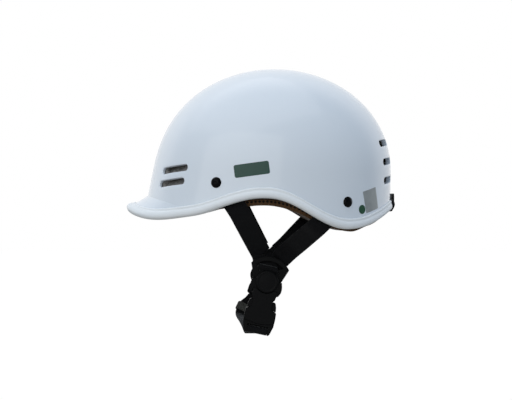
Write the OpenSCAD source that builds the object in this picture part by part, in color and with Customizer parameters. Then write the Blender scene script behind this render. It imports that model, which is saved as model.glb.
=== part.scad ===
// Half helmet for motorcycling: a moulded shell with a short brim, a foam liner, a fabric
// comfort band and a Y harness with a side-release buckle on the wearer's left.
// Millimetres. +Z is up, -Y is the front and +X is the wearer's left. The origin is the
// centre of the dome's equator, where the helmet sits on a head.
// Angles go round the helmet from the front (0) past the left ear (90) to the nape (180).

/* [Dome] */
// Length of the dome at its equator, front to rear
dome_l = 243.6; // [236:0.2:252]
// Width of the dome at its equator
dome_w = 210; // [202:0.5:218]
// Height of the crown above the equator
dome_h = 109; // [103:0.5:115]
// Squareness of the dome seen from above, where 2 is an ellipse
plan_power = 2.12; // [2.04:0.01:2.2]
// Squareness of the dome seen from the side, where 2 is an ellipse
side_power = 2.1; // [2.04:0.01:2.2]
// How far the forehead leans out beyond an upright wall
front_lean = 6.3; // [4:0.1:8]
// How far the nape draws in from an upright wall
rear_tuck = 1.5; // [0.5:0.1:3]
// Wall of the moulded shell
shell_wall = 3; // [2.6:0.1:3.4]

/* [Rim] */
// Height of the shell's edge at the middle of the brim
brim_edge_z = -33.9; // [-36:0.1:-32]
// Height of the shell's edge where the brim dips lowest
brim_low_z = -43.5; // [-46:0.1:-41]
// Angle at which the brim dips lowest
brim_low_angle = 30; // [27:0.5:33]
// Height of the shell's edge at the top of the ear arch
ear_z = -23.8; // [-27:0.1:-21]
// Angle of the top of the ear arch
ear_angle = 86; // [82:0.5:88]
// Height of the shell's edge where it is lowest behind the ear
nape_z = -53.1; // [-55:0.1:-50]
// Angle at which the edge is lowest behind the ear
nape_angle = 129; // [126:0.5:132]
// Height of the shell's edge at the rear centre line
rear_z = -36.6; // [-38:0.1:-34]
// Angle at which the edge has reached its height at the rear
rear_angle = 170; // [165:0.5:174]

/* [Brim] */
// How far the brim reaches out beyond the dome on the centre line
brim_reach = 20; // [16:0.5:24]
// Angle on each side at which the brim has run out
brim_half_angle = 42; // [39:0.5:45]
// Height of the crease between dome and brim on the centre line
crease_z = -22.5; // [-24:0.1:-20]
// Hollow of the brim's upper face
brim_hollow = 0.8; // [0.3:0.1:1.2]

/* [Trim] */
// How far the trim's outer flange climbs the shell
trim_climb = 7.7; // [6.5:0.1:8.5]
// Wall of the trim around the shell's edge
trim_wall = 2.3; // [1.8:0.1:2.6]
// How far the raised lip along the trim's upper edge stands above its groove
trim_lip = 0.6; // [0.3:0.1:0.9]

/* [Liner] */
// Thickness of the foam liner
foam_wall = 20; // [16:0.5:22]
// Thickness of the fabric comfort band inside the foam
band_wall = 6; // [4:0.5:8]
// Height of the comfort band's upper edge
band_top_z = 20; // [10:1:26]
// Thickness of the comfort band's hem under the foam
band_hem = 3; // [2.2:0.1:4]
// How far the hem hangs below the trim along most of the rim
hem_hang = 1; // [0.5:0.1:2]
// How far the hem hangs below the trim in the ear arch
ear_hang = 6; // [3:0.1:7]
// How far the hem is tucked up above the trim at the forehead
hem_tuck = 8; // [5:0.5:9]
// Radius of the crown pad
crown_pad_r = 46; // [36:1:54]
// Thickness of the crown pad in its middle
crown_pad_wall = 8; // [6:0.5:10]

/* [Vents] */
// Length of each vent slot
vent_l = 38; // [32:0.5:42]
// Height of each vent slot
vent_h = 7; // [5.5:0.1:8]
// Depth of the moulded collar around each slot
vent_depth = 8; // [6:0.5:10]
// Wall of the collar
vent_wall = 1.4; // [1:0.1:1.8]
// Angle of the front slots' centres
front_vent_angle = 33; // [31:0.5:36]
// Height of the upper front slot
front_vent_z = 3; // [0:0.5:8]
// Distance between the front slots, centre to centre
front_vent_pitch = 13; // [11:0.5:15]
// Upward tilt of the front slots towards the rear
front_vent_tilt = 5; // [0:0.5:8]
// Angle of the rear slots' centres
rear_vent_angle = 166; // [165:0.5:168]
// Height of the upper rear slot
rear_vent_z = 31; // [26:0.5:36]
// Distance between the rear slots, centre to centre
rear_vent_pitch = 18.8; // [16:0.1:20]
// Upward tilt of the rear slots towards the centre line
rear_vent_tilt = 5.5; // [0:0.5:8]

/* [Rivets] */
// Diameter of the rivets' domed heads
rivet_head_d = 10.3; // [9:0.1:12]
// Height of the rivets' heads
rivet_head_h = 2.5; // [2:0.1:3.2]
// Diameter of the rivets' shanks
rivet_shank_d = 5; // [4:0.1:6]
// Angle of the front rivets
front_rivet_angle = 59.6; // [57:0.1:62]
// Height of the front rivets
front_rivet_z = -10.7; // [-13:0.1:-8]
// Angle of the rear rivets
rear_rivet_angle = 128; // [125:0.5:131]
// Height of the rear rivets
rear_rivet_z = -29.2; // [-31:0.1:-26]
// Side of the square plate that spreads each rivet's load on the shell
plate_side = 14; // [12:0.5:15]
// Thickness of that plate
plate_wall = 1.6; // [1.2:0.1:1.8]
// Diameter of the washer behind the webbing
washer_d = 12; // [10:0.5:14]
// Thickness of that washer
washer_wall = 1.2; // [0.8:0.1:1.6]

/* [Webbing] */
// Width of the webbing
web_w = 20; // [18:0.5:21]
// Thickness of the webbing
web_t = 1.6; // [1.2:0.1:1.8]
// Width to which the webbing bunches around the Y ring
web_bunched_w = 14; // [12:0.5:14.5]
// Angle at which the front strap leaves the shell
front_exit_angle = 70; // [68:0.5:72]
// Height at which the front strap leaves the shell
front_exit_z = -39; // [-42:0.5:-38]
// Angle at which the rear strap leaves the shell
rear_exit_angle = 112; // [110:0.5:114]
// Height at which the rear strap leaves the shell
rear_exit_z = -58; // [-61:0.5:-57]

/* [Y rings] */
// Half the distance between the middle planes of the left and right swivels
ring_x = 66; // [60:0.5:72]
// Distance of the swivel axis in front of the origin
swivel_y = -8; // [-12:0.5:-4]
// Height of the swivel axis
swivel_z = -107.2; // [-112:0.1:-102]
// Forward tilt of the harness below the ear
harness_tilt = 12; // [8:0.5:15]
// Outer radius of the ring's arched bar
ring_r = 24.2; // [23.6:0.1:25.5]
// Width of the arched bar
ring_bar = 4.2; // [3.6:0.1:4.4]
// Half the angle that the arched bar spans
ring_half_angle = 52; // [50:0.5:54]
// Thickness of the Y ring
ring_t = 3; // [2.6:0.1:3.2]
// Radius of the ring's round lug
lug_r = 13; // [12:0.1:13.4]
// Diameter of the swivel pin
pin_d = 8; // [6:0.5:10]
// Diameter of the pin's inner head
pin_head_d = 14; // [13:0.5:16]
// Diameter of the round cap over the swivel
cap_d = 22; // [19:0.5:23]
// Thickness of the cap
cap_t = 2.6; // [2.2:0.1:3]

// Thickness of the collar that turns between ring and cap
collar_t = 4; // [3.4:0.1:4.2]
// How far the collar's face lies below the buckle's face
cap_sink = 2.2; // [1.8:0.1:2.4]

/* [Buckle] */
// Radius of the round shoulders that turn on the swivel
shoulder_r = 15.8; // [15.2:0.1:16.4]
// Thickness of the buckle
buckle_t = 9; // [8.6:0.1:10]
// Wall of the socket's front and back plates
socket_wall = 1.6; // [1.3:0.1:1.9]
// Half width of the socket's mouth, outside
mouth_half_w = 15.2; // [14.9:0.1:16]
// Half width of the socket's waist between the prong pads
waist_half_w = 9.5; // [9:0.1:10]
// Distance from the swivel axis down to the edge of the mouth
mouth_drop = 39.3; // [38.8:0.1:41]
// How much lower the mouth's edge is in its middle
mouth_bulge = 2.6; // [1.5:0.1:3]
// Distance from the swivel axis down to the clip's lower edge
clip_drop = 51.6; // [51:0.1:54]
// Half width of the clip's lower edge
clip_half_w = 12.3; // [12:0.1:13.5]
// Height of the bar at the clip's lower edge
clip_bar = 3.2; // [2.6:0.1:3.6]
// Running clearance of a pin in its hole, on the radius
pin_clearance = 0.05; // [0.02:0.01:0.09]
// Clearance between pieces that move past each other
gap = 0.3; // [0.25:0.01:0.35]

/* [Link plate] */
// Distance from the swivel axis down to the link plate's lower edge
link_drop = 28.6; // [27.6:0.1:31]
// Half width of the link plate at its lower edge
link_half_w = 13; // [12.4:0.1:14]

/* [Chin strap] */
// Height of the chin strap at the end of its upright stretch on the right
chin_right_z = -147.5; // [-150:0.5:-145]
// Height of the chin strap in the middle
chin_mid_z = -154; // [-157:0.5:-152]
// How far the chin strap bows forward from the swivels
chin_bow = 19; // [14:0.5:22]
// Length of the grey sleeve on the chin strap
sleeve_l = 13; // [10:0.5:16]
// Wall of the sleeve
sleeve_wall = 1.3; // [1:0.1:1.8]

/* [Rear keeper] */
// Width of the goggle-strap keeper
keeper_w = 22; // [16:0.5:28]
// Thickness of the keeper's strip
keeper_t = 1.8; // [1.4:0.1:2.2]
// Height of the keeper's free end
keeper_top_z = -20.5; // [-21:0.1:-18]
// Height of the keeper's snap
snap_z = -24.6; // [-25:0.1:-23]
// Diameter of the snap's cap
snap_d = 8; // [7:0.1:9]

/* [Hidden] */
$fn = 48;

// Stations round the helmet, and rings down its dome and across its brim
around = 72;
dome_rings = 12;
brim_rings = 3;

// Clearance of pieces that are assembled once, and what flat pieces need beside a curved wall
fit = 0.2;
curve_room = 0.5;

// Depths below the shell's outer face, at a rivet and at the rim
foam_in = shell_wall + gap + curve_room / 2;
plate_in = shell_wall + gap + curve_room / 2;
web_in = plate_in + plate_wall + gap;
web_mid = web_in + web_t / 2;
washer_in = web_in + web_t + gap;
recess_in = washer_in + washer_wall + 1.8;
rebate_in = shell_wall + fit + trim_wall + gap;
rim_web_mid = rebate_in + curve_room + web_t / 2;
hem_edge_in = rim_web_mid + web_t / 2 + gap + curve_room;
band_in = foam_in + foam_wall + gap;

white = [0.86, 0.89, 0.93];
black = [0.06, 0.06, 0.065];

// Helpers for shapes that go round the helmet

function ease(t) = (1 - cos(180 * t)) / 2;

// Height at an angle, easing from one [angle, height] station to the next
function along(stations, a, i = 0) =
    a > stations[i + 1][0] && i < len(stations) - 2 ? along(stations, a, i + 1)
    : stations[i][1] + (stations[i + 1][1] - stations[i][1])
        * ease((a - stations[i][0]) / (stations[i + 1][0] - stations[i][0]));

// The same angle on the left side, from 0 at the front to 180 at the nape
function fold(a) = abs(((a + 180) % 360) - 180);

// Reach of the dome's superellipse at the equator
function plan_reach(a) = pow(
    pow(abs(sin(a)) / (dome_w / 2), plan_power) + pow(abs(cos(a)) / (dome_l / 2), plan_power),
    -1 / plan_power);

function lean(a) = (cos(a) > 0 ? front_lean : -rear_tuck) * pow(cos(a), 2);

// Reach of the dome at an angle and a height, for a layer that lies t inside the outer face
function reach(a, z, t = 0) = z > 0
    ? (plan_reach(a) - t) * sqrt(max(0, 1 - pow(z / (dome_h - t), side_power)))
        + lean(a) * pow(1 - z / (dome_h - t), 2)
    : plan_reach(a) - t + lean(a) * (1 - 2 * z / dome_h);

// Angle in plan of the outward normal
function plan_normal(a, z = 0) = let (
    d = spot(a + 1, reach(a + 1, z), z) - spot(a - 1, reach(a - 1, z), z)) atan2(d[1], d[0]);

// Angle by which the outward normal points up
function rise(a, z) = atan((reach(a, z - 1) - reach(a, z + 1)) / 2);

function spot(a, r, z) = [r * sin(a), -r * cos(a), z];

// Height of the shell's edge
function edge_z(a) = along([[0, brim_edge_z], [brim_low_angle, brim_low_z], [ear_angle, ear_z],
    [nape_angle, nape_z], [rear_angle, rear_z], [180, rear_z]], fold(a));

// Share of the brim at an angle: 1 on the centre line and 0 where the brim has run out
function brim_share(a) = fold(a) < brim_half_angle
    ? pow(cos(90 * fold(a) / brim_half_angle), 1.6) : 0;

// Height of the line where the trim's flange, or the brim's crease, meets the dome
function belt_z(a) = let (end = edge_z(brim_half_angle) + trim_climb)
    fold(a) < brim_half_angle
    ? crease_z + (end - crease_z) * (1 - cos(fold(a))) / (1 - cos(brim_half_angle))
    : edge_z(a) + trim_climb;

// Outer face of the shell at an angle, as [reach, height] from the crown to the edge
function outer_line(a) = let (
    zb = belt_z(a), ze = edge_z(a), share = brim_share(a),
    start = [reach(a, zb), zb], end = [reach(a, ze) + brim_reach * share, ze])
    concat(
        [for (i = [0:dome_rings]) let (z = zb + (dome_h - zb) * cos(90 * i / dome_rings))
            [i == 0 ? 0 : reach(a, z), z]],
        [for (j = [1:brim_rings]) let (f = j / brim_rings)
            start + (end - start) * f - [0, 4 * f * (1 - f) * brim_hollow * share]]);

function unit(v) = v / norm(v);

// Outward normal of a line of [reach, height] points at point i
function line_normal(p, i) = let (
    t = unit(p[min(i + 1, len(p) - 1)] - p[max(i - 1, 0)]))
    i == 0 ? [0, 1] : [-t[1], t[0]];

function inset_line(p, t) = [for (i = [0:len(p) - 1]) p[i] - t * line_normal(p, i)];

function reversed(p) = [for (i = [len(p) - 1:-1:0]) p[i]];

// Two triangles of a patch, split the same way on the left and on the right of the helmet
function facets(a, b, c, d, left) = left ? [[a, b, c], [a, c, d]] : [[a, b, d], [b, c, d]];

// Skin over profiles that start and end on the axis: rows[k] is the profile at station k
module capped_skin(rows) {
    n = len(rows);
    m = len(rows[0]);
    step = 360 / n;
    ring = m - 2;
    points = concat(
        [for (k = [0:n - 1], i = [1:m - 2]) spot(k * step, rows[k][i][0], rows[k][i][1])],
        [[0, 0, rows[0][0][1]], [0, 0, rows[0][m - 1][1]]]);
    faces = concat(
        [for (k = [0:n - 1], i = [0:ring - 2]) each let (
            a = k * ring + i, b = ((k + 1) % n) * ring + i)
            facets(a, b, b + 1, a + 1, k < n / 2)],
        [for (k = [0:n - 1]) [n * ring, ((k + 1) % n) * ring, k * ring]],
        [for (k = [0:n - 1]) [n * ring + 1, k * ring + ring - 1, ((k + 1) % n) * ring + ring - 1]]);
    polyhedron(points, faces, convexity = 10);
}

// Skin over closed profiles that go once round the helmet
module ring_skin(rows) {
    n = len(rows);
    m = len(rows[0]);
    step = 360 / n;
    points = [for (k = [0:n - 1], p = rows[k]) spot(k * step, p[0], p[1])];
    faces = [for (k = [0:n - 1], i = [0:m - 1]) each let (
        a = k * m + i, b = ((k + 1) % n) * m + i,
        c = ((k + 1) % n) * m + (i + 1) % m, d = k * m + (i + 1) % m)
        facets(a, b, c, d, k < n / 2)];
    polyhedron(points, faces, convexity = 10);
}

// A place on the shell, with Z along the outward normal and X along the level tangent
module on_shell(a, z) {
    translate(spot(a, reach(a, z), z))
        rotate([0, 0, plan_normal(a, z)])
            rotate([90 - rise(a, z), 0, 0])
                children();
}

module both_sides() {
    children();
    mirror([1, 0, 0]) children();
}

// A slot with round ends
module stadium(l, h) {
    square([l - h, h], center = true);
    for (s = [-1, 1]) translate([s * (l - h) / 2, 0]) circle(d = h);
}

// Children at every vent, with Z out of the shell and X along the slot
module at_front_vents() {
    both_sides() for (i = [0:1])
        on_shell(front_vent_angle, front_vent_z - i * front_vent_pitch)
            rotate(front_vent_tilt) children();
}

module at_rear_vents() {
    both_sides() for (i = [0:2])
        on_shell(rear_vent_angle, rear_vent_z - i * rear_vent_pitch)
            rotate(rear_vent_tilt) children();
}

module at_rivets() {
    both_sides() {
        on_shell(front_rivet_angle, front_rivet_z) children();
        on_shell(rear_rivet_angle, rear_rivet_z) children();
    }
}

// Shell, trim and liner

// Depth at which a flat collar end stays inside the shell's curved wall
collar_sink = 2.2;

module outer_shell() {
    color(white) difference() {
        union() {
            capped_skin([for (k = [0:around - 1]) let (p = outer_line(k * 360 / around))
                concat(p, reversed(inset_line(p, shell_wall)))]);
            at_front_vents() vent_collar();
            at_rear_vents() vent_collar();
        }
        at_front_vents() vent_bore();
        at_rear_vents() vent_bore();
        at_rivets() translate([0, 0, -3 * shell_wall])
            cylinder(d = rivet_shank_d + 2 * fit, h = 6 * shell_wall);
        translate([0, dome_l / 2 - 3 * shell_wall, snap_z]) rotate([-90, 0, 0])
            cylinder(d = 2.4 + 2 * fit, h = 6 * shell_wall);
    }
}

module vent_collar() {
    translate([0, 0, -vent_depth]) linear_extrude(vent_depth - collar_sink)
        stadium(vent_l + 2 * vent_wall, vent_h + 2 * vent_wall);
}

module vent_bore() {
    translate([0, 0, -vent_depth - 1]) linear_extrude(vent_depth + 6) stadium(vent_l, vent_h);
}

// Trim profile in the edge's own directions: [out of the shell, down past its edge]
function trim_profile() = let (c = trim_climb, w = trim_wall, in = -shell_wall - fit)
    [[fit, -c], [w - 0.9, -c - 0.2], [w - 0.3, -c + 0.5], [w - 0.3 - trim_lip, -c + 1.7],
     [w - 0.1, -c + 3], [w, -c / 4], [w * 0.75, w * 0.5], [0, w * 0.95],
     [in, w * 0.95], [in - w * 0.75, w * 0.5], [in - w, -1], [in - w, -5],
     [in, -5.6], [in, fit], [fit, fit]];

module edge_trim() {
    color([0.78, 0.81, 0.84]) ring_skin([for (k = [0:around - 1]) let (
        p = outer_line(k * 360 / around), n = len(p),
        down = unit(p[n - 1] - p[n - 2]), out = [-down[1], down[0]])
        [for (q = trim_profile()) p[n - 1] + q[0] * out + q[1] * down]]);
}

// Angle at which the rim lies level, seen from the side, with the hem at angle a
function rim_beside(a) = acos(cos(fold(a)) * (1 - 2 * (band_in - hem_edge_in) / dome_l));

// Height of the comfort band's hem: it follows the rim beside it, and is drawn up under the brim
function hem_z(a) = let (b = rim_beside(a)) edge_z(b) - trim_wall
    - along([[0, -hem_tuck], [rim_beside(0), -hem_tuck], [62, hem_hang], [80, ear_hang], [112, ear_hang],
        [122, hem_hang], [180, hem_hang]], b);

module foam_liner() {
    color([0.2, 0.2, 0.21]) difference() {
        capped_skin([for (k = [0:around - 1]) let (
            a = k * 360 / around, low = hem_z(a) + band_hem + gap + curve_room, step = edge_z(a) + 7,
            inner = foam_in + foam_wall)
            concat(
                [for (i = [0:9]) let (z = step + (dome_h - foam_in - step) * cos(10 * i))
                    [i == 0 ? 0 : reach(a, z, foam_in), z]],
                [[reach(a, step - 1, rebate_in), step - 1], [reach(a, low, rebate_in), low]],
                [for (z = [low, 0, band_top_z / 2, band_top_z]) [reach(a, z, inner), z]],
                [for (i = [1:6]) let (z = band_top_z + (dome_h - inner - band_top_z) * sin(15 * i))
                    [i == 6 ? 0 : reach(a, z, inner), z]])]);
        at_front_vents() vent_cavity(vent_depth + 6);
        at_rear_vents() vent_cavity(foam_wall + 20);
        strap_recess(front_rivet_angle, front_rivet_z, front_exit_angle, front_exit_z);
        strap_recess(rear_rivet_angle, rear_rivet_z, rear_exit_angle, rear_exit_z);
        translate([-keeper_w / 2 - 1, reach(180, rear_z) - keeper_in - keeper_t - 0.6, rear_z - 20])
            cube([keeper_w + 2, 30, 35.4]);
    }
}

module vent_cavity(depth) {
    translate([0, 0, -depth]) linear_extrude(depth + 6)
        stadium(vent_l + 2 * vent_wall + 1.2, vent_h + 2 * vent_wall + 1.2);
}

// Room in the foam for the webbing from a rivet down to the rim
module strap_recess(a, z, exit_a, exit_z) {
    top = spot(a, reach(a, z), z);
    low = spot(exit_a, reach(exit_a, exit_z), exit_z);
    run = norm(low - top);
    out = unit([low[0] - top[0], low[1] - top[1], 0]);
    mid_a = (a + exit_a) / 2;
    both_sides() translate(top)
        rotate([0, 0, plan_normal(mid_a)]) rotate([90, 0, 0])
            rotate(-atan2(low[2] - top[2], -norm([low[0] - top[0], low[1] - top[1]])
                * sign(exit_a - a)) + 180)
                translate([-14, -web_w / 2 - 2, -recess_in - 3])
                    cube([run + 20, web_w + 4, recess_in + 3]);
}

// Comfort band: an inner pad that turns under the foam as a hem
module comfort_band() {
    color([0.3, 0.19, 0.1]) ring_skin([for (k = [0:around - 1]) let (
        a = k * 360 / around, low = hem_z(a), top = band_top_z, t0 = band_in,
        t1 = band_in + band_wall, shelf = low + band_hem, mid = (low + top) / 2)
        [[reach(a, shelf, hem_edge_in), shelf],
         [reach(a, low, hem_edge_in) + 0.2, low + 1],
         [reach(a, low, hem_edge_in + 2), low],
         [reach(a, low, t0), low - 0.2],
         [reach(a, low, t1 - 1.5), low + 1.2],
         [reach(a, low, t1), low + 6],
         [reach(a, mid, t1 + 0.6), mid],
         [reach(a, top - 5, t1), top - 5],
         [reach(a, top - 1, t1 - 2), top - 1],
         [reach(a, top, t0), top],
         [reach(a, top / 2, t0), top / 2],
         [reach(a, 0, t0), 0],
         [reach(a, shelf, t0), shelf]]]);
}

// Crown pad: a round cushion under the crown, thinner towards its edge
module crown_pad() {
    stations = 36;
    rings = 5;
    inner = foam_in + foam_wall + gap;
    color([0.28, 0.18, 0.1]) capped_skin([for (k = [0:stations - 1]) let (
        a = k * 360 / stations, grow = dome_l / dome_w,
        r_edge = crown_pad_r * (1 + (grow - 1) * pow(cos(a), 2)))
        concat(
            [for (i = [0:rings]) let (f = i / rings, r = r_edge * f) [r, pad_top(a, r, inner)]],
            [for (i = [0:rings]) let (f = 1 - i / rings, r = r_edge * (i == 0 ? 0.985 : 1) * f)
                [r, pad_top(a, r, inner) - 1.6 - (crown_pad_wall - 1.6) * sqrt(1 - f * f)]])]);
}

// Height of the foam's inner face at a small reach from the axis
function pad_top(a, r, t) = (dome_h - t) * pow(1 - pow(min(1, r / (plan_reach(a) - t)), 2), 1 / side_power)
    - curve_room - gap;

// Rivets and what they hold

module strap_rivets() {
    dome_r = (pow(rivet_head_d / 2, 2) + pow(rivet_head_h, 2)) / (2 * rivet_head_h);
    tail = recess_in - 1.6;
    color(black) at_rivets() {
        difference() {
            intersection() {
                translate([0, 0, rivet_head_h - dome_r]) sphere(dome_r);
                cylinder(d = rivet_head_d, h = rivet_head_h + 1);
            }
            translate([0, 0, rivet_head_h - 0.6]) cylinder(d1 = 1.4, d2 = 2.4, h = 1);
        }
        translate([0, 0, -tail]) cylinder(d = rivet_shank_d, h = tail);
        translate([0, 0, -tail - 0.9]) cylinder(d1 = rivet_shank_d - 1, d2 = rivet_shank_d + 2, h = 0.9);
    }
}

module rivet_plates() {
    color("silver") at_rivets() translate([0, 0, -plate_in - plate_wall]) difference() {
        linear_extrude(plate_wall) rounded_square(plate_side, plate_side, 3);
        translate([0, 0, -1]) cylinder(d = rivet_shank_d + 2 * fit, h = plate_wall + 2);
    }
}

module rivet_washers() {
    color("silver") at_rivets() translate([0, 0, -washer_in - washer_wall]) difference() {
        cylinder(d = washer_d, h = washer_wall);
        translate([0, 0, -1]) cylinder(d = rivet_shank_d + 2 * fit, h = washer_wall + 2);
    }
}

module rounded_square(w, h, r) {
    square([w - 2 * r, h], center = true);
    square([w, h - 2 * r], center = true);
    for (x = [-1, 1], y = [-1, 1]) translate([x * (w / 2 - r), y * (h / 2 - r)]) circle(r);
}

// Webbing

// A flat strap through stations of [centre, face normal, width]
module webbing(stations, t = web_t) {
    n = len(stations);
    points = [for (i = [0:n - 1]) let (
        ahead = unit(stations[min(i + 1, n - 1)][0] - stations[max(i - 1, 0)][0]),
        across = unit(cross(ahead, stations[i][1])),
        face = cross(across, ahead),
        w = stations[i][2] / 2, c = stations[i][0])
        each [c - across * w - face * t / 2, c - across * w + face * t / 2,
            c + across * w + face * t / 2, c + across * w - face * t / 2]];
    faces = concat(
        [[0, 1, 2], [0, 2, 3]],
        [for (i = [0:n - 2], j = [0:3]) each let (
            a = i * 4 + j, b = i * 4 + (j + 1) % 4)
            [[a, a + 4, b + 4], [a, b + 4, b]]],
        [[4 * n - 1, 4 * n - 2, 4 * n - 3], [4 * n - 1, 4 * n - 3, 4 * n - 4]]);
    polyhedron(points, faces, convexity = 10);
}

// Directions of the tilted harness: down along the buckle, and across it to the rear
swivel = [ring_x, swivel_y, swivel_z];
harness_up = [0, sin(harness_tilt), cos(harness_tilt)];
harness_rear = [0, cos(harness_tilt), -sin(harness_tilt)];

// Stack across the swivel, from the helmet's inside outwards: ring, collar, cap
collar_x1 = buckle_t / 2 - cap_sink;
collar_x0 = collar_x1 - collar_t;
cap_x0 = collar_x1 + gap;
ring_outer_x = collar_x0 - gap;
ring_inner_x = ring_outer_x - ring_t;
ring_mid = ring_outer_x - ring_t / 2;
bar_mid = ring_r - ring_bar / 2;

// Where a strap crosses the ring's arched bar, and the way it comes in
bar_seat_angle = 28;
bar_lead_angle = 30;

function wall_spot(a, z, t) = spot(a, reach(a, z) - t, z);
function wall_face(a, z) = let (n = plan_normal(a, z)) [sin(n), -cos(n), sin(rise(a, z))];

// A strap's stations turned back beside themselves, below their faces
function beside(stations, t = web_t + gap) = [for (i = [len(stations) - 1:-1:0]) let (q = stations[i])
    [q[0] - unit(q[1]) * t, -q[1], q[2]]];

// Stations of a strap: down the shell's inner face, across to the ring, and round its bar
function strap_stations(a0, z0, a1, z1, side) = let (
    n0 = unit(wall_face(a0, z0)), top = wall_spot(a0, z0, web_mid), exit = wall_spot(a1, z1, rim_web_mid),
    chord = exit - top, lead = unit(chord - (chord * n0) * n0),
    am = a0 + (a1 - a0) * 0.65, zm = z0 + (z1 - z0) * 0.65,
    up = harness_up * cos(bar_lead_angle) + side * harness_rear * sin(bar_lead_angle),
    seat = swivel + [ring_mid, 0, 0] + bar_mid * (harness_up * cos(bar_seat_angle)
        + side * harness_rear * sin(bar_seat_angle)),
    half = ring_t / 2 + gap + web_t / 2, x = [1, 0, 0],
    low = seat - up * (bar_mid - shoulder_r - gap - half - web_t / 2), near = seat + up * 5 + x * half, free = exit - near,
    face = unit(x - (x * unit(free)) * unit(free)),
    last = [[near + free * 0.42, face, web_w - 1], [near + free * 0.16, face, web_w - 3],
        [near, unit(x + face), web_bunched_w]])
    concat(
        [[top - lead * 9, n0, web_w], [top, n0, web_w], [top + lead * plate_side / 2, n0, web_w],
         [wall_spot(am, zm, rim_web_mid), wall_face(am, zm), web_w], [exit, wall_face(a1, z1), web_w],
         [exit - free * 0.12, unit(wall_face(a1, z1) + face), web_w]],
        last,
        [for (i = [0:6]) let (t = i * 30)
            [low + x * half * cos(t) - up * half * sin(t), x * cos(t) - up * sin(t), web_bunched_w]],
        [[seat + up * 4 - x * half, -x, web_bunched_w]],
        beside([for (i = [0, 1]) last[i]]));

front_strap = strap_stations(front_rivet_angle, front_rivet_z, front_exit_angle, front_exit_z, -1);
rear_strap = strap_stations(rear_rivet_angle, rear_rivet_z, rear_exit_angle, rear_exit_z, 1);

module strap(stations, a, z) {
    difference() {
        webbing(stations);
        on_shell(a, z) translate([0, 0, -2 * recess_in])
            cylinder(d = rivet_shank_d + 2 * fit, h = 2 * recess_in);
    }
}

module strap_front_left() { color(black) strap(front_strap, front_rivet_angle, front_rivet_z); }
module strap_rear_left() { color(black) strap(rear_strap, rear_rivet_angle, rear_rivet_z); }
module strap_front_right() { color(black) mirror([1, 0, 0]) strap(front_strap, front_rivet_angle, front_rivet_z); }
module strap_rear_right() { color(black) mirror([1, 0, 0]) strap(rear_strap, rear_rivet_angle, rear_rivet_z); }

// Y rings and swivels

// The left swivel's own frame: X out of the helmet, Y to the rear, Z up along the harness
module at_swivel() {
    translate(swivel) rotate([-harness_tilt, 0, 0]) children();
}

// A flat shape drawn in the swivel's Y-Z plane, from x0 to x1
module slab(x0, x1) {
    translate([x0, 0, 0]) rotate([90, 0, 90]) linear_extrude(x1 - x0) children();
}

module ring_shape() {
    leg_x = ring_r * sin(ring_half_angle);
    leg_y = ring_r * cos(ring_half_angle);
    corner = 2.4;
    difference() {
        union() {
            intersection() {
                circle(ring_r);
                polygon([[0, 0], [-ring_r * 2 * sin(ring_half_angle), ring_r * 2 * cos(ring_half_angle)],
                    [0, ring_r * 2], [ring_r * 2 * sin(ring_half_angle), ring_r * 2 * cos(ring_half_angle)]]);
            }
            polygon([[-leg_x, leg_y], [-leg_x + 1.5, 2], [-lug_r, -1], [lug_r, -1], [leg_x - 1.5, 2], [leg_x, leg_y]]);
            circle(lug_r);
        }
        difference() {
            circle(ring_r - ring_bar);
            circle(lug_r);
            for (s = [-1, 1]) polygon([[s * (leg_x - 4), leg_y + 9], [s * (leg_x - 4.4), 3],
                [s * (lug_r - 4), -2], [s * 30, -2], [s * 30, leg_y + 9]]);
            translate([-30, -40]) square([60, 42]);
        }
    }
}

module strap_ring() {
    at_swivel() difference() {
        slab(ring_inner_x, ring_outer_x) ring_shape();
        slab(ring_inner_x - 1, ring_outer_x + 1) circle(d = pin_d);
    }
}

module swivel_pin() {
    at_swivel() {
        slab(ring_inner_x - 1.4, ring_inner_x) circle(d = pin_head_d);
        slab(ring_inner_x, cap_x0 + cap_t - 1) circle(d = pin_d);
    }
}

// Round cap with a domed face, snapped over the pin's end
module pivot_cap() {
    r = cap_d / 2;
    at_swivel() translate([cap_x0, 0, 0]) rotate([0, 90, 0]) difference() {
        rotate_extrude() polygon([[0, 0], [r, 0], [r, cap_t - 1.2], [r - 0.5, cap_t - 0.5],
            [r - 1.6, cap_t - 0.15], [r - 2.6, cap_t - 0.5], [r - 3.4, cap_t - 0.4], [0, cap_t]]);
        translate([0, 0, -1]) cylinder(d = pin_d, h = cap_t);
    }
}

module strap_ring_left() { color(black) strap_ring(); }
module strap_ring_right() { color(black) mirror([1, 0, 0]) strap_ring(); }
module swivel_pin_left() { color("silver") swivel_pin(); }
module swivel_pin_right() { color("silver") mirror([1, 0, 0]) swivel_pin(); }
module pivot_cap_left() { color(black) pivot_cap(); }
module pivot_cap_right() { color(black) mirror([1, 0, 0]) pivot_cap(); }

// Buckle

half_t = buckle_t / 2;
pocket_half_t = half_t - socket_wall;
pocket_half_w = mouth_half_w - 2.6;
pocket_top = -18.5;
window_low = -27.4;

// The mouth's edge, bulging down in the middle, d further down
function mouth_arc(d, w) = [for (i = [-8:8]) let (u = w * i / 8)
    [u, -mouth_drop - d - mouth_bulge * (1 - pow(i / 8, 2))]];

module mirrored_outline(right, arc) {
    polygon(concat(right, reversed(arc), [for (i = [len(right) - 1:-1:0]) [-right[i][0], right[i][1]]]));
}

module socket_shape() {
    w = mouth_half_w;
    h = waist_half_w;
    mirrored_outline([[11.6, -8], [11.8, -13], [11.2, -16.4], [h + 0.2, -18.4], [h, -20], [h, -24.4],
        [h + 0.4, -26.2], [h + 1.6, window_low], [w - 1, -28.4], [w - 0.2, -29], [w, -30.4], [w + 0.2, -36]],
        mouth_arc(0, w));
}

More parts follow.
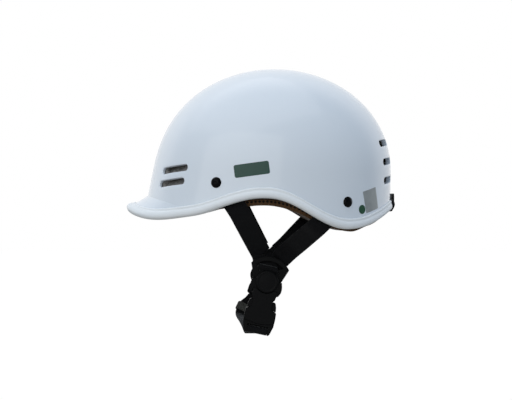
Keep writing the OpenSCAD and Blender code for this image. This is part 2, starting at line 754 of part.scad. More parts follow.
module buckle_socket() {
    color(black) at_swivel() difference() {
        union() {
            slab(collar_x0, collar_x1) circle(shoulder_r);
            slab(-half_t, half_t) socket_shape();
        }
        slab(-pocket_half_t, pocket_half_t) translate([-pocket_half_w, -mouth_drop - 10])
            square([2 * pocket_half_w, mouth_drop + 10 + pocket_top]);
        slab(-half_t - 1, collar_x0) circle(lug_r + 0.6);
        slab(collar_x1, half_t + 1) circle(cap_d / 2 + 0.6);
        slab(-half_t - 1, half_t + 1) circle(d = pin_d + 2 * pin_clearance);
    }
}

clip_bar_deep = 5.2;
tongue_half_w = 4;
prong_root = -38.4;
insert_half_t = pocket_half_t - gap;

module buckle_clip() {
    w = mouth_half_w;
    window_top = -mouth_drop - mouth_bulge - gap - 1.2;
    color(black) at_swivel() {
        slab(-half_t, half_t) difference() {
            polygon(concat(mouth_arc(gap, w), [[w - 0.1, -mouth_drop - 3], [clip_half_w + 0.6, -clip_drop + 1.6],
                [clip_half_w - 0.6, -clip_drop], [-clip_half_w + 0.6, -clip_drop],
                [-clip_half_w - 0.6, -clip_drop + 1.6], [-w + 0.1, -mouth_drop - 3]]));
            translate([-web_w / 2 - gap, -clip_drop - 1]) square([web_w + 2 * gap, window_top + clip_drop + 1]);
        }
        cross_bar(-clip_drop + clip_bar / 2, 0, clip_bar, clip_bar_deep);
        slab(-insert_half_t, insert_half_t) polygon([[-tongue_half_w, window_top],
            [-tongue_half_w, -23], [-tongue_half_w + 1.4, -21], [tongue_half_w - 1.4, -21],
            [tongue_half_w, -23], [tongue_half_w, window_top]]);
    }
}

// A bar with a rounded section that webbing turns round, at height v of the harness
module cross_bar(v, x, high, deep) {
    translate([x, web_w / 2 + gap + 0.5, v]) rotate([90, 0, 0]) linear_extrude(web_w + 2 * gap + 1)
        if (deep > high) stadium(deep, high); else circle(d = high);
}

// One prong of the clip: an arm with a press pad that fills the socket's side window
module prong(s) {
    at_swivel() slab(-insert_half_t, insert_half_t) scale([s, 1]) polygon([[8.8, prong_root], [11.7, prong_root],
        [11.7, -29], [12.1, -27.1], [14.1, -27.7], [14.4, -26.8], [14, -23.4], [12.9, -20], [12, -19],
        [9.6, -19], [8.4, -20.4], [8.3, -26], [8.8, -30]]);
}

module prong_front() { color([0.12, 0.12, 0.13]) prong(-1); }
module prong_rear() { color([0.12, 0.12, 0.13]) prong(1); }

// Link plate on the far side, with round shoulders like the socket's
link_slot_top = -20;

module link_plate() {
    w = link_half_w;
    color(black) mirror([1, 0, 0]) at_swivel() difference() {
        union() {
            slab(collar_x0, collar_x1) circle(shoulder_r);
            slab(collar_x0, collar_x1) polygon([[12, -9], [11.6, -15], [w, -20], [w, -link_drop + 1.5], [w - 1.5, -link_drop],
                [-w + 1.5, -link_drop], [-w, -link_drop + 1.5], [-w, -20], [-11.6, -15], [-12, -9]]);
        }
        slab(collar_x0 - 1, collar_x1 + 1) translate([-web_w / 2 - gap, -link_drop - 1])
            square([web_w + 2 * gap, link_drop + 1 + link_slot_top]);
        slab(collar_x0 - 1, collar_x1 + 1) circle(d = pin_d + 2 * pin_clearance);
    }
    color(black) mirror([1, 0, 0]) at_swivel()
        cross_bar(-link_drop + collar_t / 2, (collar_x0 + collar_x1) / 2, collar_t, collar_t);
}

// Chin strap: round the link's bar on the right, under the chin, and round the clip's bar

function harness_spot(x, u, v) = [x, swivel_y, swivel_z] + harness_rear * u + harness_up * v;

link_mid_x = -ring_x - (collar_x0 + collar_x1) / 2;
chin_w = web_w - 0.8;

function chin_stations() = let (
    x = [1, 0, 0], up = harness_up,
    link_bar = harness_spot(link_mid_x, 0, -link_drop + collar_t / 2),
    link_r = collar_t / 2 + gap + web_t / 2,
    clip_mid = harness_spot(ring_x, 0, -clip_drop + clip_bar / 2),
    clip_r = clip_bar / 2 + gap + web_t / 2,
    shift = x * (clip_bar_deep - clip_bar) / 2,
    front = swivel_y - chin_bow,
    run = [
        [link_bar + x * link_r - up * 3, x, chin_w],
        [[link_mid_x + 4, swivel_y - 7.8, chin_right_z + 8], [1, 0, 0.3], chin_w],
        [[link_mid_x + 7.5, front + 5, chin_right_z + 2.6], [1, 0, 0.8], chin_w],
        [[link_mid_x + 13, front + 2, chin_right_z], [0.5, 0, 1], chin_w],
        [[-45, front, chin_right_z - 1.6], [0.2, 0, 1], chin_w],
        [[-20, front, chin_mid_z + 3], [0.12, 0, 1], chin_w],
        [[10, front, chin_mid_z - 0.8], [0.1, 0, 1], chin_w],
        [[38, front + 3, chin_mid_z - 3], [0.05, 0, 1], chin_w],
        [[ring_x - 10, swivel_y - 13, clip_mid[2] - clip_r - 1.2], [0, 0, 1], chin_w],
        [clip_mid - shift - up * clip_r, up, chin_w]])
    concat(
        beside([run[1], run[2]]),
        [[link_bar - x * link_r - up * 3, -x, chin_w]],
        [for (i = [0:6]) let (t = 180 - i * 30) [link_bar + link_r * (x * cos(t) + up * sin(t)),
            -x * cos(t) - up * sin(t), chin_w]],
        run,
        [for (i = [0:6]) let (t = -90 + i * 30)
            [clip_mid + shift + clip_r * (x * cos(t) + up * sin(t)), -x * cos(t) - up * sin(t), chin_w]],
        [[clip_mid - x * (half_t - 1) + up * (clip_r + 0.4), -up, chin_w]]);

module chin_strap() { color(black) webbing(chin_stations()); }

module strap_keeper() {
    s = chin_stations();
    a = s[14][0];
    b = s[15][0];
    middle = (a + b) / 2;
    run = b - a;
    color([0.2, 0.2, 0.19]) translate(middle)
        rotate([0, 0, atan2(run[1], run[0])]) rotate([0, -asin(run[2] / norm(run)), 0])
            difference() {
                cube([sleeve_l, chin_w + 2 * (gap + sleeve_wall), web_t + 2 * (gap + sleeve_wall)], center = true);
                cube([sleeve_l + 2, chin_w + 2 * gap, web_t + 2 * gap], center = true);
            }
}

// Rear keeper for a goggle strap: a strip glued inside the rim that snaps onto the shell

keeper_in = rebate_in + pow(keeper_w / 2, 2) / dome_w;
keeper_hinge = [reach(180, rear_z) + 1.6, rear_z - trim_wall - gap - keeper_t / 2 - 0.5];
stud_h = 1.9;
snap_y = reach(180, snap_z) + fit + stud_h + gap + keeper_t / 2;

function bezier(p, t) = pow(1 - t, 3) * p[0] + 3 * t * pow(1 - t, 2) * p[1]
    + 3 * t * t * (1 - t) * p[2] + t * t * t * p[3];

// Middle line of the flap as [distance behind the origin, height]
flap_line = concat(
    [for (i = [0:7]) bezier([keeper_hinge, keeper_hinge + [3.4, 4.5], [snap_y + 3, snap_z - 7.5],
        [snap_y, snap_z - snap_d / 2 - 0.4]], i / 7)],
    [[snap_y, snap_z], [snap_y, keeper_top_z]]);

// Middle line of the fixed part, from the flap's fold under the trim and up inside the shell
root_line = [keeper_hinge - [keeper_t / 2 + gap, 0], [reach(180, rear_z) - 3, keeper_hinge[1]],
    [reach(180, rear_z) - keeper_in + 0.2, keeper_hinge[1] + 0.7],
    [reach(180, rear_z) - keeper_in - keeper_t / 2, rear_z - 1],
    [reach(180, rear_z + 14) - keeper_in - keeper_t / 2, rear_z + 14]];

module strip(line) {
    slab(-keeper_w / 2, keeper_w / 2)
        polygon(concat(inset_line2(line, keeper_t / 2), reversed(inset_line2(line, -keeper_t / 2))));
}

// The line moved sideways by t
function inset_line2(p, t) = [for (i = [0:len(p) - 1]) let (
    d = unit(p[min(i + 1, len(p) - 1)] - p[max(i - 1, 0)])) p[i] + t * [-d[1], d[0]]];

module keeper_root() { color(black) strip(root_line); }

module keeper_flap() {
    middle = (keeper_top_z + keeper_hinge[1]) / 2;
    tall = keeper_top_z - keeper_hinge[1];
    color(black) intersection() {
        strip(flap_line);
        translate([0, dome_l, middle]) rotate([90, 0, 0]) linear_extrude(dome_l)
            rounded_square(keeper_w, tall + 2 * keeper_t, 4);
    }
}

module keeper_cap() {
    color(black) translate([0, snap_y + keeper_t / 2, snap_z]) rotate([-90, 0, 0])
        rotate_extrude() polygon([[0, 0], [snap_d / 2, 0], [snap_d / 2, 0.5], [snap_d / 2 - 0.6, 1.1],
            [snap_d / 4, 1.4], [0, 1.5]]);
}

module keeper_stud() {
    color("silver") translate([0, reach(180, snap_z) + fit, snap_z]) rotate([-90, 0, 0]) {
        cylinder(d = snap_d - 1, h = 0.6);
        cylinder(d = snap_d / 2, h = stud_h);
        translate([0, 0, -shell_wall - 1]) cylinder(d = 2.4, h = shell_wall + 1.2);
        translate([0, 0, -shell_wall - 1.4]) cylinder(d = 5, h = 0.8);
    }
}

outer_shell();
edge_trim();
foam_liner();
comfort_band();
crown_pad();
strap_rivets();
rivet_plates();
rivet_washers();
strap_front_left();
strap_rear_left();
strap_front_right();
strap_rear_right();
strap_ring_left();
strap_ring_right();
swivel_pin_left();
swivel_pin_right();
pivot_cap_left();
pivot_cap_right();
buckle_socket();
buckle_clip();
prong_front();
prong_rear();
link_plate();
chin_strap();
strap_keeper();
keeper_root();
keeper_flap();
keeper_cap();
keeper_stud();
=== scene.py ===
# %% [markdown]
# # A motorcycle half helmet
# The helmet is a glossy moulded shell with a white beading on its rim, a foam liner with brown
# mesh pads, and a Y harness with a side-release buckle. The construction comes packed and fixed.
# This notebook gives each piece its finished surface: new meshes are worked out with numpy, and
# each finish is a small net of shader nodes.

import bmesh
import bpy
import numpy as np
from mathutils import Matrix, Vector


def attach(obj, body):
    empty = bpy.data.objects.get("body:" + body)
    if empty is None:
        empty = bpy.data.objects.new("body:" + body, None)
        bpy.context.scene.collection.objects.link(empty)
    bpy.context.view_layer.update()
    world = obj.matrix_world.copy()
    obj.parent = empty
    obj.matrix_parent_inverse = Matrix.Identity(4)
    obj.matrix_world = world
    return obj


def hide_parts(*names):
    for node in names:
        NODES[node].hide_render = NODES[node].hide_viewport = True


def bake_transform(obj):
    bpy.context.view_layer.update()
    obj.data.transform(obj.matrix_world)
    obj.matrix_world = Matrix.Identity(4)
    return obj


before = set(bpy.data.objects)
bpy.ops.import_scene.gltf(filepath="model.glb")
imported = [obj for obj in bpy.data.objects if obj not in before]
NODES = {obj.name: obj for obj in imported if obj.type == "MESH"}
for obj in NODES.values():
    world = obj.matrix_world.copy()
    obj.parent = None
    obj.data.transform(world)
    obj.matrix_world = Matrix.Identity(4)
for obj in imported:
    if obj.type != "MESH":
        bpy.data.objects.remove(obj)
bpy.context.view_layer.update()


# %% [markdown]
# ## Where the camera stands
# A side view is judged by its outline, so the camera is set before any piece: level, straight at
# the wearer's left side, one metre away. The lens follows from how wide the picture is at the
# helmet's middle plane.

# %% Camera
MM = 0.001


def add_object(name, data):
    """A new object with its data, linked into the scene."""
    made = bpy.data.objects.new(name, data)
    bpy.context.scene.collection.objects.link(made)
    return made


PICTURE_W = 512
MM_PER_PIXEL = 1.05
CAMERA_X = 1000
CAMERA_Y, CAMERA_Z = -18.9, -27.3
SENSOR = 36

camera_data = bpy.data.cameras.new("side_camera")
camera_data.sensor_width = SENSOR
camera_data.lens = SENSOR * CAMERA_X / (PICTURE_W * MM_PER_PIXEL)
camera = add_object("side_camera", camera_data)
camera.location = (CAMERA_X * MM, CAMERA_Y * MM, CAMERA_Z * MM)
camera.rotation_euler = (np.pi / 2, 0, np.pi / 2)
bpy.context.scene.camera = camera

# %% [markdown]
# ## Sizes
# All sizes are in millimetres, as on the drawing. Angles go round the helmet from the front (0)
# past the left ear (90) to the nape (180).

# %% Sizes of the dome and its rim
DOME_W, DOME_L, DOME_H = 210, 243.6, 109
PLAN_POWER, SIDE_POWER = 2.12, 2.1
FRONT_LEAN, REAR_TUCK = 5.3, 0.5
SHELL_WALL = 3
EDGE = [(0, -33.6), (30, -43.2), (86, -23.8), (129, -53.1), (172, -35.6), (180, -34.9)]
# Shallow waves of the rim beside the brim and ahead of the ear: angle, height, width
RIM_WAVES = [(53, -1.7, 10), (78, 0.7, 8)]
TRIM_CLIMB, TRIM_WALL = 7.7, 2.3
BRIM_REACH, BRIM_HALF_ANGLE, BRIM_HOLLOW = 18.3, 42, 0.5
CREASE_Z = -22.5
FIT = 0.2

# %% [markdown]
# ## The dome as a function
# From above the dome is a superellipse, a little squarer than an ellipse, and from the side it is
# one too. Two such curves multiplied give the reach of the shell at any angle and height. Every
# layer of the helmet uses the same function with its own depth, so the layers nest without
# fitting.

# %% Dome


def full_turn(n):
    """n even angles round the helmet, in degrees."""
    return np.arange(n) * 360.0 / n


def bell(x, width):
    """The bell curve exp(-(x / width)^2)."""
    return np.exp(-((x / width) ** 2))


def fold(a):
    """The same angle on the left half, from 0 at the front to 180 at the nape."""
    return np.abs((np.asarray(a, float) + 180) % 360 - 180)


def along(stations, a):
    """Height at an angle, easing by half a cosine wave from one station to the next."""
    x, y = np.array(stations, float).T
    i = np.clip(np.searchsorted(x, a, side="right") - 1, 0, len(x) - 2)
    t = (a - x[i]) / (x[i + 1] - x[i])
    return y[i] + (y[i + 1] - y[i]) * (1 - np.cos(np.pi * t)) / 2


def plan_reach(a):
    """Reach of the superellipse |x/w|^p + |y/l|^p = 1 in the direction a."""
    a = np.radians(a)
    across = (np.abs(np.sin(a)) / (DOME_W / 2)) ** PLAN_POWER
    ahead = (np.abs(np.cos(a)) / (DOME_L / 2)) ** PLAN_POWER
    return (across + ahead) ** (-1 / PLAN_POWER)


def lean(a):
    """How far the wall leans out at the forehead, or in at the nape: a cosine squared."""
    c = np.cos(np.radians(a))
    return np.where(c > 0, FRONT_LEAN, -REAR_TUCK) * c * c


def reach(a, z, depth=0):
    """Reach of the dome at angle a and height z, for a layer that lies deeper by depth."""
    crown = DOME_H - depth
    share = np.clip(np.maximum(z, 0) / crown, 0, 1)
    above = (plan_reach(a) - depth) * np.sqrt(1 - share**SIDE_POWER) + lean(a) * (1 - share) ** 4
    below = plan_reach(a) - depth + lean(a) * (1 - 4 * np.minimum(z, 0) / DOME_H)
    return np.where(np.asarray(z) > 0, above, below)


def spot(a, r, z):
    """Point at angle a, reach r and height z."""
    a = np.radians(a)
    return np.stack([r * np.sin(a), -r * np.cos(a), z + 0 * a], -1)


def edge_z(a):
    """Height of the shell's edge: eased stations, with shallow waves as bell curves."""
    side = fold(a)
    return along(EDGE, side) + sum(height * bell(side - at, width) for at, height, width in RIM_WAVES)


def brim_share(a):
    """1 at the middle of the brim, falling to 0 where it has run out."""
    wave = np.cos(np.pi / 2 * np.clip(fold(a) / BRIM_HALF_ANGLE, 0, 1))
    return np.clip(wave, 0, 1) ** 1.6


def belt_z(a):
    """Height of the crease under the forehead, and of the trim's upper edge elsewhere."""
    end = edge_z(BRIM_HALF_ANGLE) + TRIM_CLIMB
    f = (1 - np.cos(np.radians(fold(a)))) / (1 - np.cos(np.radians(BRIM_HALF_ANGLE)))
    return np.where(fold(a) < BRIM_HALF_ANGLE, CREASE_Z + (end - CREASE_Z) * f, edge_z(a) + TRIM_CLIMB)


# %% [markdown]
# ## The shell's surface
# The outer face is a function of two numbers: the angle a, and v, which runs from 0 at the crown
# over the belt to 1 at the rim. Its normal comes from two small steps on the surface, so a second
# skin at any depth costs nothing more.

# %% Shell surface
BELT_V = 0.88
STEP_V, STEP_A = 0.004, 0.3


def shell_face(a, v):
    """Outer face: a dome down to the belt, then a slightly hollow brim that runs out to the rim."""
    zb, ze, share = belt_z(a), edge_z(a), brim_share(a)
    t = np.clip(v / BELT_V, 0, 1)
    z_dome = zb + (DOME_H - zb) * np.cos(np.pi / 2 * t)
    f = np.clip((v - BELT_V) / (1 - BELT_V), 0, 1)
    rb = reach(a, zb)
    r_brim = rb + (reach(a, ze) + BRIM_REACH * share - rb) * f
    z_brim = zb + (ze - zb) * f - 4 * f * (1 - f) * BRIM_HOLLOW * share
    on_dome = v <= BELT_V
    return spot(a, np.where(on_dome, reach(a, z_dome), r_brim), np.where(on_dome, z_dome, z_brim))


def unit(v):
    """Vectors cut to length 1."""
    return v / np.maximum(np.linalg.norm(v, axis=-1, keepdims=True), 1e-9)


def shell_normal(a, v):
    """Outward normal: the cross product of a small step down and a small step round."""
    v = np.clip(v, STEP_V, 1 - STEP_V)
    down = shell_face(a, v + STEP_V) - shell_face(a, v - STEP_V)
    around = shell_face(a + STEP_A, v) - shell_face(a - STEP_A, v)
    return unit(np.cross(down, around))


def plan_normal(a, z):
    """Direction, in radians, that the dome's outline runs in at a height, seen from above."""
    d = spot(a + 1, reach(a + 1, z), z) - spot(a - 1, reach(a - 1, z), z)
    return np.arctan2(d[..., 1], d[..., 0])


def rise(a, z):
    """Angle by which the normal points up."""
    return np.arctan((reach(a, z - 1) - reach(a, z + 1)) / 2)


def place_on_shell(a, z, tilt=0):
    """Centre and axes of a flat frame on the shell: along it, up it, and out of it."""
    n, up, t = plan_normal(a, z), rise(a, z), np.radians(tilt)
    level = np.array([np.cos(n), np.sin(n), 0])
    climb = np.array([-np.sin(n) * np.sin(up), np.cos(n) * np.sin(up), np.cos(up)])
    out = np.cross(level, climb)
    centre = spot(a, reach(a, z), z)
    return centre, np.cos(t) * level + np.sin(t) * climb, np.cos(t) * climb - np.sin(t) * level, out


def to_frame(place, points):
    """Where points lie in a frame: along it, up it and out of it."""
    centre, along_u, along_w, out = place
    return (points - centre) @ along_u, (points - centre) @ along_w, (points - centre) @ out


def from_frame(place, u, w, d=0):
    """Points at u along a frame, w up it and d out of it."""
    centre, along_u, along_w, out = place
    u, w, d = (np.asarray(part, float)[..., None] for part in (u, w, d))
    return centre + u * along_u + w * along_w + d * out


MIRROR = np.array([-1, 1, 1])


def mirrored(place):
    """The same frame on the right side, kept right-handed."""
    centre, u, w, out = place
    return centre * MIRROR, -u * MIRROR, w * MIRROR, out * MIRROR


# %% [markdown]
# ## Helpers that make pieces
# A piece is a mesh in metres with its object at the origin. Grids give the faces by index
# arithmetic, without a loop over vertices.

# %% Mesh helpers


def patch(index, wrap_i=False, wrap_j=False):
    """Quads over a grid of vertex numbers, closed along either direction."""
    if wrap_i:
        index = np.concatenate([index, index[:1]], 0)
    if wrap_j:
        index = np.concatenate([index, index[:, :1]], 1)
    quads = np.stack([index[:-1, :-1], index[:-1, 1:], index[1:, 1:], index[1:, :-1]], -1)
    return quads.reshape(-1, 4)


def numbered(points):
    """The number of each point of a grid, in the grid's shape."""
    return np.arange(points[..., 0].size).reshape(points.shape[:-1])


def capped(index):
    """Quads round a tube of loops, with one face at each end."""
    return patch(index, wrap_j=True).tolist() + [index[0][::-1].tolist(), index[-1].tolist()]


def run_along(points):
    """Length along a row of points, from 0 at its first."""
    return np.concatenate([[0], np.cumsum(np.linalg.norm(np.diff(points, axis=0), axis=1))])


def make_piece(name, points, faces, uv=None, sharp=None, turn_out=True):
    """A new mesh object from points in millimetres, with UV per point in millimetres, edges marked
    sharp from an angle on, and its faces turned outwards."""
    mesh = bpy.data.meshes.new(name)
    mesh.from_pydata((np.asarray(points).reshape(-1, 3) * MM).tolist(), [], [list(map(int, f)) for f in faces])
    mesh.validate()
    if uv is not None:
        corner = np.zeros(len(mesh.loops), int)
        mesh.loops.foreach_get("vertex_index", corner)
        layer = mesh.uv_layers.new(name="cloth")
        layer.data.foreach_set("uv", (np.asarray(uv).reshape(-1, 2) * MM)[corner].ravel())
    if turn_out:
        work = bmesh.new()
        work.from_mesh(mesh)
        bmesh.ops.recalc_face_normals(work, faces=work.faces)
        work.to_mesh(mesh)
        work.free()
    mesh.shade_smooth()
    if sharp:
        mesh.set_sharp_from_angle(angle=np.radians(sharp))
    return add_object(name, mesh)


def points_of(mesh):
    """A mesh's points in millimetres."""
    points = np.zeros(3 * len(mesh.vertices))
    mesh.vertices.foreach_get("co", points)
    return points.reshape(-1, 3) / MM


def finish_piece(piece, body, material, replaces=()):
    """Sets a piece's material and names what it rides on and what it stands for, whose imported parts
    are hidden. A piece given no body is left unattached."""
    piece.data.materials.clear()
    piece.data.materials.append(material)
    if body:
        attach(piece, body)
    if replaces:
        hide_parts(*replaces)
    return piece


def cut_corners(profile, times=2):
    """Rounds a closed outline: each corner is cut at a quarter of its two sides."""
    p = np.asarray(profile, float)
    for _ in range(times):
        ahead = np.roll(p, -1, 0)
        p = np.stack([0.75 * p + 0.25 * ahead, 0.25 * p + 0.75 * ahead], 1).reshape(-1, *p.shape[1:])
    return p


# %% [markdown]
# ## Shader helpers
# Each material is a Principled BSDF with a few nodes in front of it. What several materials share,
# such as fine grain or woven cloth, is a node group with named inputs.

# %% Node helpers


def add_node(tree, kind, links=None, **values):
    """Adds a node, sets its properties or input values, and links its inputs."""
    node = tree.nodes.new(kind)
    for name, value in values.items():
        if hasattr(node, name):
            setattr(node, name, value)
        else:
            node.inputs[name.replace("_", " ")].default_value = value
    for name, source in (links or {}).items():
        tree.links.new(source, node.inputs[name])
    return node


def calc(tree, operation, a, b=None):
    """The result of a Math node, on sockets or plain numbers."""
    node = tree.nodes.new("ShaderNodeMath")
    node.operation = operation
    for socket, value in zip(node.inputs, (a, b)):
        if isinstance(value, (int, float)):
            socket.default_value = value
        elif value is not None:
            tree.links.new(value, socket)
    return node.outputs["Value"]


def map_range(tree, value, low, high, **ends):
    """A value carried onto the range from low to high."""
    return add_node(tree, "ShaderNodeMapRange", {"Value": value}, To_Min=low, To_Max=high, **ends).outputs["Result"]


def set_bump(tree, shader, height, strength, distance):
    """Raises a shader's surface by a height map; distance is in metres."""
    bump = add_node(tree, "ShaderNodeBump", {"Height": height}, Strength=strength, Distance=distance)
    tree.links.new(bump.outputs["Normal"], shader.inputs["Normal"])


def new_group(name, inputs, outputs):
    """An empty node group with its inputs, each (name, kind, value), and outputs."""
    tree = bpy.data.node_groups.new(name, "ShaderNodeTree")
    for title, kind, value in inputs:
        socket = tree.interface.new_socket(title, in_out="INPUT", socket_type="NodeSocket" + kind)
        if value is not None:
            socket.default_value = value
    for title, kind in outputs:
        tree.interface.new_socket(title, in_out="OUTPUT", socket_type="NodeSocket" + kind)
    return tree, tree.nodes.new("NodeGroupInput").outputs, tree.nodes.new("NodeGroupOutput").inputs


def use_group(tree, group, **values):
    """The outputs of a node group with some of its inputs set."""
    return add_node(tree, "ShaderNodeGroup", node_tree=group, **values).outputs


def new_material(name, **values):
    """A material with a Principled BSDF. Returns it with its tree and shader."""
    material = bpy.data.materials.new(name)
    material.use_nodes = True
    tree = material.node_tree
    shader = tree.nodes["Principled BSDF"]
    for title, value in values.items():
        shader.inputs[title.replace("_", " ")].default_value = value
    return material, tree, shader


def shade_between(tree, mask, low, high):
    """A colour between two, by a mask."""
    mix = add_node(tree, "ShaderNodeMix", data_type="RGBA")
    mix.inputs["A"].default_value = (*low, 1)
    mix.inputs["B"].default_value = (*high, 1)
    tree.links.new(mask, mix.inputs["Factor"])
    return mix.outputs["Result"]


def set_colour(tree, shader, mask, low, high):
    """Colours a shader between two, by a mask."""
    tree.links.new(shade_between(tree, mask, low, high), shader.inputs["Base Color"])


# %% Shared effects
# Grain: fine noise as a height, and slow noise as a mask, both on Object coordinates.
grain, g_in, g_out = new_group(
    "grain", [("Fine", "Float", 900), ("Broad", "Float", 30)], [("Height", "Float"), ("Mask", "Float")]
)
place = add_node(grain, "ShaderNodeTexCoord").outputs["Object"]
fine = add_node(grain, "ShaderNodeTexNoise", {"Vector": place, "Scale": g_in["Fine"]}, Detail=2)
broad = add_node(grain, "ShaderNodeTexNoise", {"Vector": place, "Scale": g_in["Broad"]}, Detail=3)
grain.links.new(fine.outputs["Fac"], g_out["Height"])
grain.links.new(broad.outputs["Fac"], g_out["Mask"])


def grainy(name, fine, broad, bump=None, rough=None, colours=None, **values):
    """A material with the shared grain: as a bump (strength, metres), as a roughness that wanders
    between two values, and as a colour that wanders between two."""
    material, tree, shader = new_material(name, **values)
    skin = use_group(tree, grain, Fine=fine, Broad=broad)
    if bump:
        set_bump(tree, shader, skin["Height"], *bump)
    if rough:
        tree.links.new(map_range(tree, skin["Mask"], *rough), shader.inputs["Roughness"])
    if colours:
        set_colour(tree, shader, skin["Mask"], *colours)
    return material


# %% [markdown]
# ## Gloss white of the shell
# The shell is white plastic under a clear coat. Under the coat sits a very fine orange peel, and
# faint cloudy marks vary the roughness, because a perfectly even gloss looks like porcelain.

# %% Shell material
shell_white = grainy(
    "shell_white", 260, 14, bump=(0.03, 0.0006), rough=(0.26, 0.4),
    Base_Color=(0.74, 0.79, 0.85, 1), Roughness=0.32, Coat_Weight=0.7, Coat_Roughness=0.06, IOR=1.5,
)

# %% [markdown]
# ## The shell with its vents
# On the real shell each vent is a slot with a collar moulded inside. A boolean would leave ragged
# triangles in a glossy surface. Here the grid opens instead: a block of cells is left out, the
# block's border slides along the surface onto the slot's outline, and the cells around it relax.
# Every vertex stays exactly on the dome, so the gloss shows no dents.

# %% Vents
VENT_L, VENT_H, VENT_WALL, VENT_LIP = 38, 6.6, 1.4, 0.7
# Each vent is an angle, a height and a tilt
FRONT_VENTS = [(34.6 - 1.2 * i, 3 - 13 * i, 5) for i in range(2)]
REAR_VENTS = [(163.4 + 0.7 * i, 31 - 18.8 * i, 5.5) for i in range(3)]
VENT_DEPTHS = [5, 5, 7, 7, 7] * 2
AROUND, ROWS = 336, 126
NEWTON_STEPS, RELAX_ROUNDS = 12, 80
# Cells round a block that may relax, and half the strip in which a block's ends are looked for
RELAX_AROUND, RELAX_DOWN, STRIP, NEAR_SHELL = 4, 2, 1.5, 15


def slot_outline(s, length, height):
    """Point and outward direction on a slot with round ends, at share s of each of its sides.
    Sides 0 to 3 run over the top, the front end, the bottom and the rear end, from one
    half-way point of a round end to the next."""
    side, t = np.divmod(s, 1.0)
    r, half = height / 2, (length - height) / 2
    quarter = np.pi / 4
    long_side = side % 2 == 0
    reach_l = half + r * quarter
    # Steps shorten towards the ends, where the outline bends
    t_eased = 0.45 * t + 0.55 * (1 - np.cos(np.pi * t)) / 2
    x = reach_l * (1 - 2 * t_eased)
    bend = np.clip((np.abs(x) - half) / r, 0, quarter)
    angle_long = np.pi / 2 - np.sign(x) * bend
    centre_long = np.clip(x, -half, half)
    angle_end = quarter + t * 2 * quarter
    angle = np.where(long_side, angle_long, angle_end + np.pi / 2)
    turn = np.where(side >= 2, np.pi, 0)
    centre = np.where(long_side, centre_long, -half)
    centre = np.where(side >= 2, -centre, centre)
    direction = np.stack([np.cos(angle + turn), np.sin(angle + turn)], -1)
    return np.stack([centre, 0 * centre], -1) + r * direction, direction


def slide_to(target, place, a, v):
    """Angle and v whose surface point lies over target in a flat frame, by Newton steps."""

    def flat(a, v):
        return np.stack(to_frame(place, shell_face(a, v))[:2], -1)

    for _ in range(NEWTON_STEPS):
        here = flat(a, v)
        da, dv = (flat(a + 0.05, v) - here) / 0.05, (flat(a, v + 1e-4) - here) / 1e-4
        miss = target - here
        det = da[:, 0] * dv[:, 1] - da[:, 1] * dv[:, 0]
        a = a + (miss[:, 0] * dv[:, 1] - miss[:, 1] * dv[:, 0]) / det
        v = v + (da[:, 0] * miss[:, 1] - da[:, 1] * miss[:, 0]) / det
    return a, v


def border(i0, i1, j0, j1):
    """Grid places round a block, and the share of each side that they lie at."""
    n, m = i1 - i0, j1 - j0
    i = np.concatenate([i1 - np.arange(n), np.full(m, i0), i0 + np.arange(n), np.full(m, i1)])
    j = np.concatenate([np.full(n, j0), j0 + np.arange(m), np.full(n, j1), j1 - np.arange(m)])
    s = np.concatenate([np.arange(n) / n, 1 + np.arange(m) / m, 2 + np.arange(n) / n, 3 + np.arange(m) / m])
    return i, j, s


def open_grid(places, blocks, offset):
    """Angle and v of every grid vertex once its borders lie on the slots, grown by offset."""
    a = np.repeat(full_turn(AROUND)[:, None], ROWS, 1)
    v = np.repeat(np.linspace(0, 1, ROWS)[None, :], AROUND, 0)
    free = np.zeros(a.shape, bool)
    for i0, i1, j0, j1 in blocks:
        free[i0 - RELAX_AROUND : i1 + RELAX_AROUND + 1, j0 - RELAX_DOWN : j1 + RELAX_DOWN + 1] = True
    for place, (i0, i1, j0, j1) in zip(places, blocks):
        i, j, s = border(i0, i1, j0, j1)
        target, _ = slot_outline(s, VENT_L + 2 * offset, VENT_H + 2 * offset)
        free[i0 : i1 + 1, j0 : j1 + 1] = False
        a[i, j], v[i, j] = slide_to(target, place, a[i, j], v[i, j])
    for _ in range(RELAX_ROUNDS):
        for grid in (a, v):
            mean = (grid[:-2, 1:-1] + grid[2:, 1:-1] + grid[1:-1, :-2] + grid[1:-1, 2:]) / 4
            grid[1:-1, 1:-1] = np.where(free[1:-1, 1:-1], mean, grid[1:-1, 1:-1])
    return a, v


def find_block(place, offset):
    """The block of grid cells that lies within a slot."""
    a = full_turn(AROUND)[:, None]
    v = np.linspace(0, 1, ROWS)[None, :]
    u, w, depth = to_frame(place, shell_face(a + 0 * v, v + 0 * a))
    near = np.abs(depth) < NEAR_SHELL
    columns = np.where((near & (np.abs(w) < STRIP) & (np.abs(u) < VENT_L / 2 + offset - 0.8)).any(1))[0]
    rows = np.where((near & (np.abs(u) < STRIP) & (np.abs(w) < VENT_H / 2 + offset)).any(0))[0]
    return columns[0], columns[-1], rows[0], rows[-1]


vent_places = [place_on_shell(*vent) for vent in FRONT_VENTS + REAR_VENTS]
vent_places += [mirrored(place) for place in vent_places]
vent_blocks = [find_block(place, VENT_LIP) for place in vent_places]

outer_a, outer_v = open_grid(vent_places, vent_blocks, VENT_LIP)
inner_a, inner_v = open_grid(vent_places, vent_blocks, VENT_WALL)
outer_skin = shell_face(outer_a, outer_v)
inner_skin = shell_face(inner_a, inner_v) - SHELL_WALL * shell_normal(inner_a, inner_v)
inner_skin[:, 0] = inner_skin[:, 0].mean(0)

# %% Shell mesh
grid = np.arange(AROUND * ROWS).reshape(AROUND, ROWS)
covered = np.zeros((AROUND, ROWS - 1), bool)
for i0, i1, j0, j1 in vent_blocks:
    covered[i0:i1, j0:j1] = True
outer_quads = patch(grid, wrap_i=True)[~covered.ravel()]
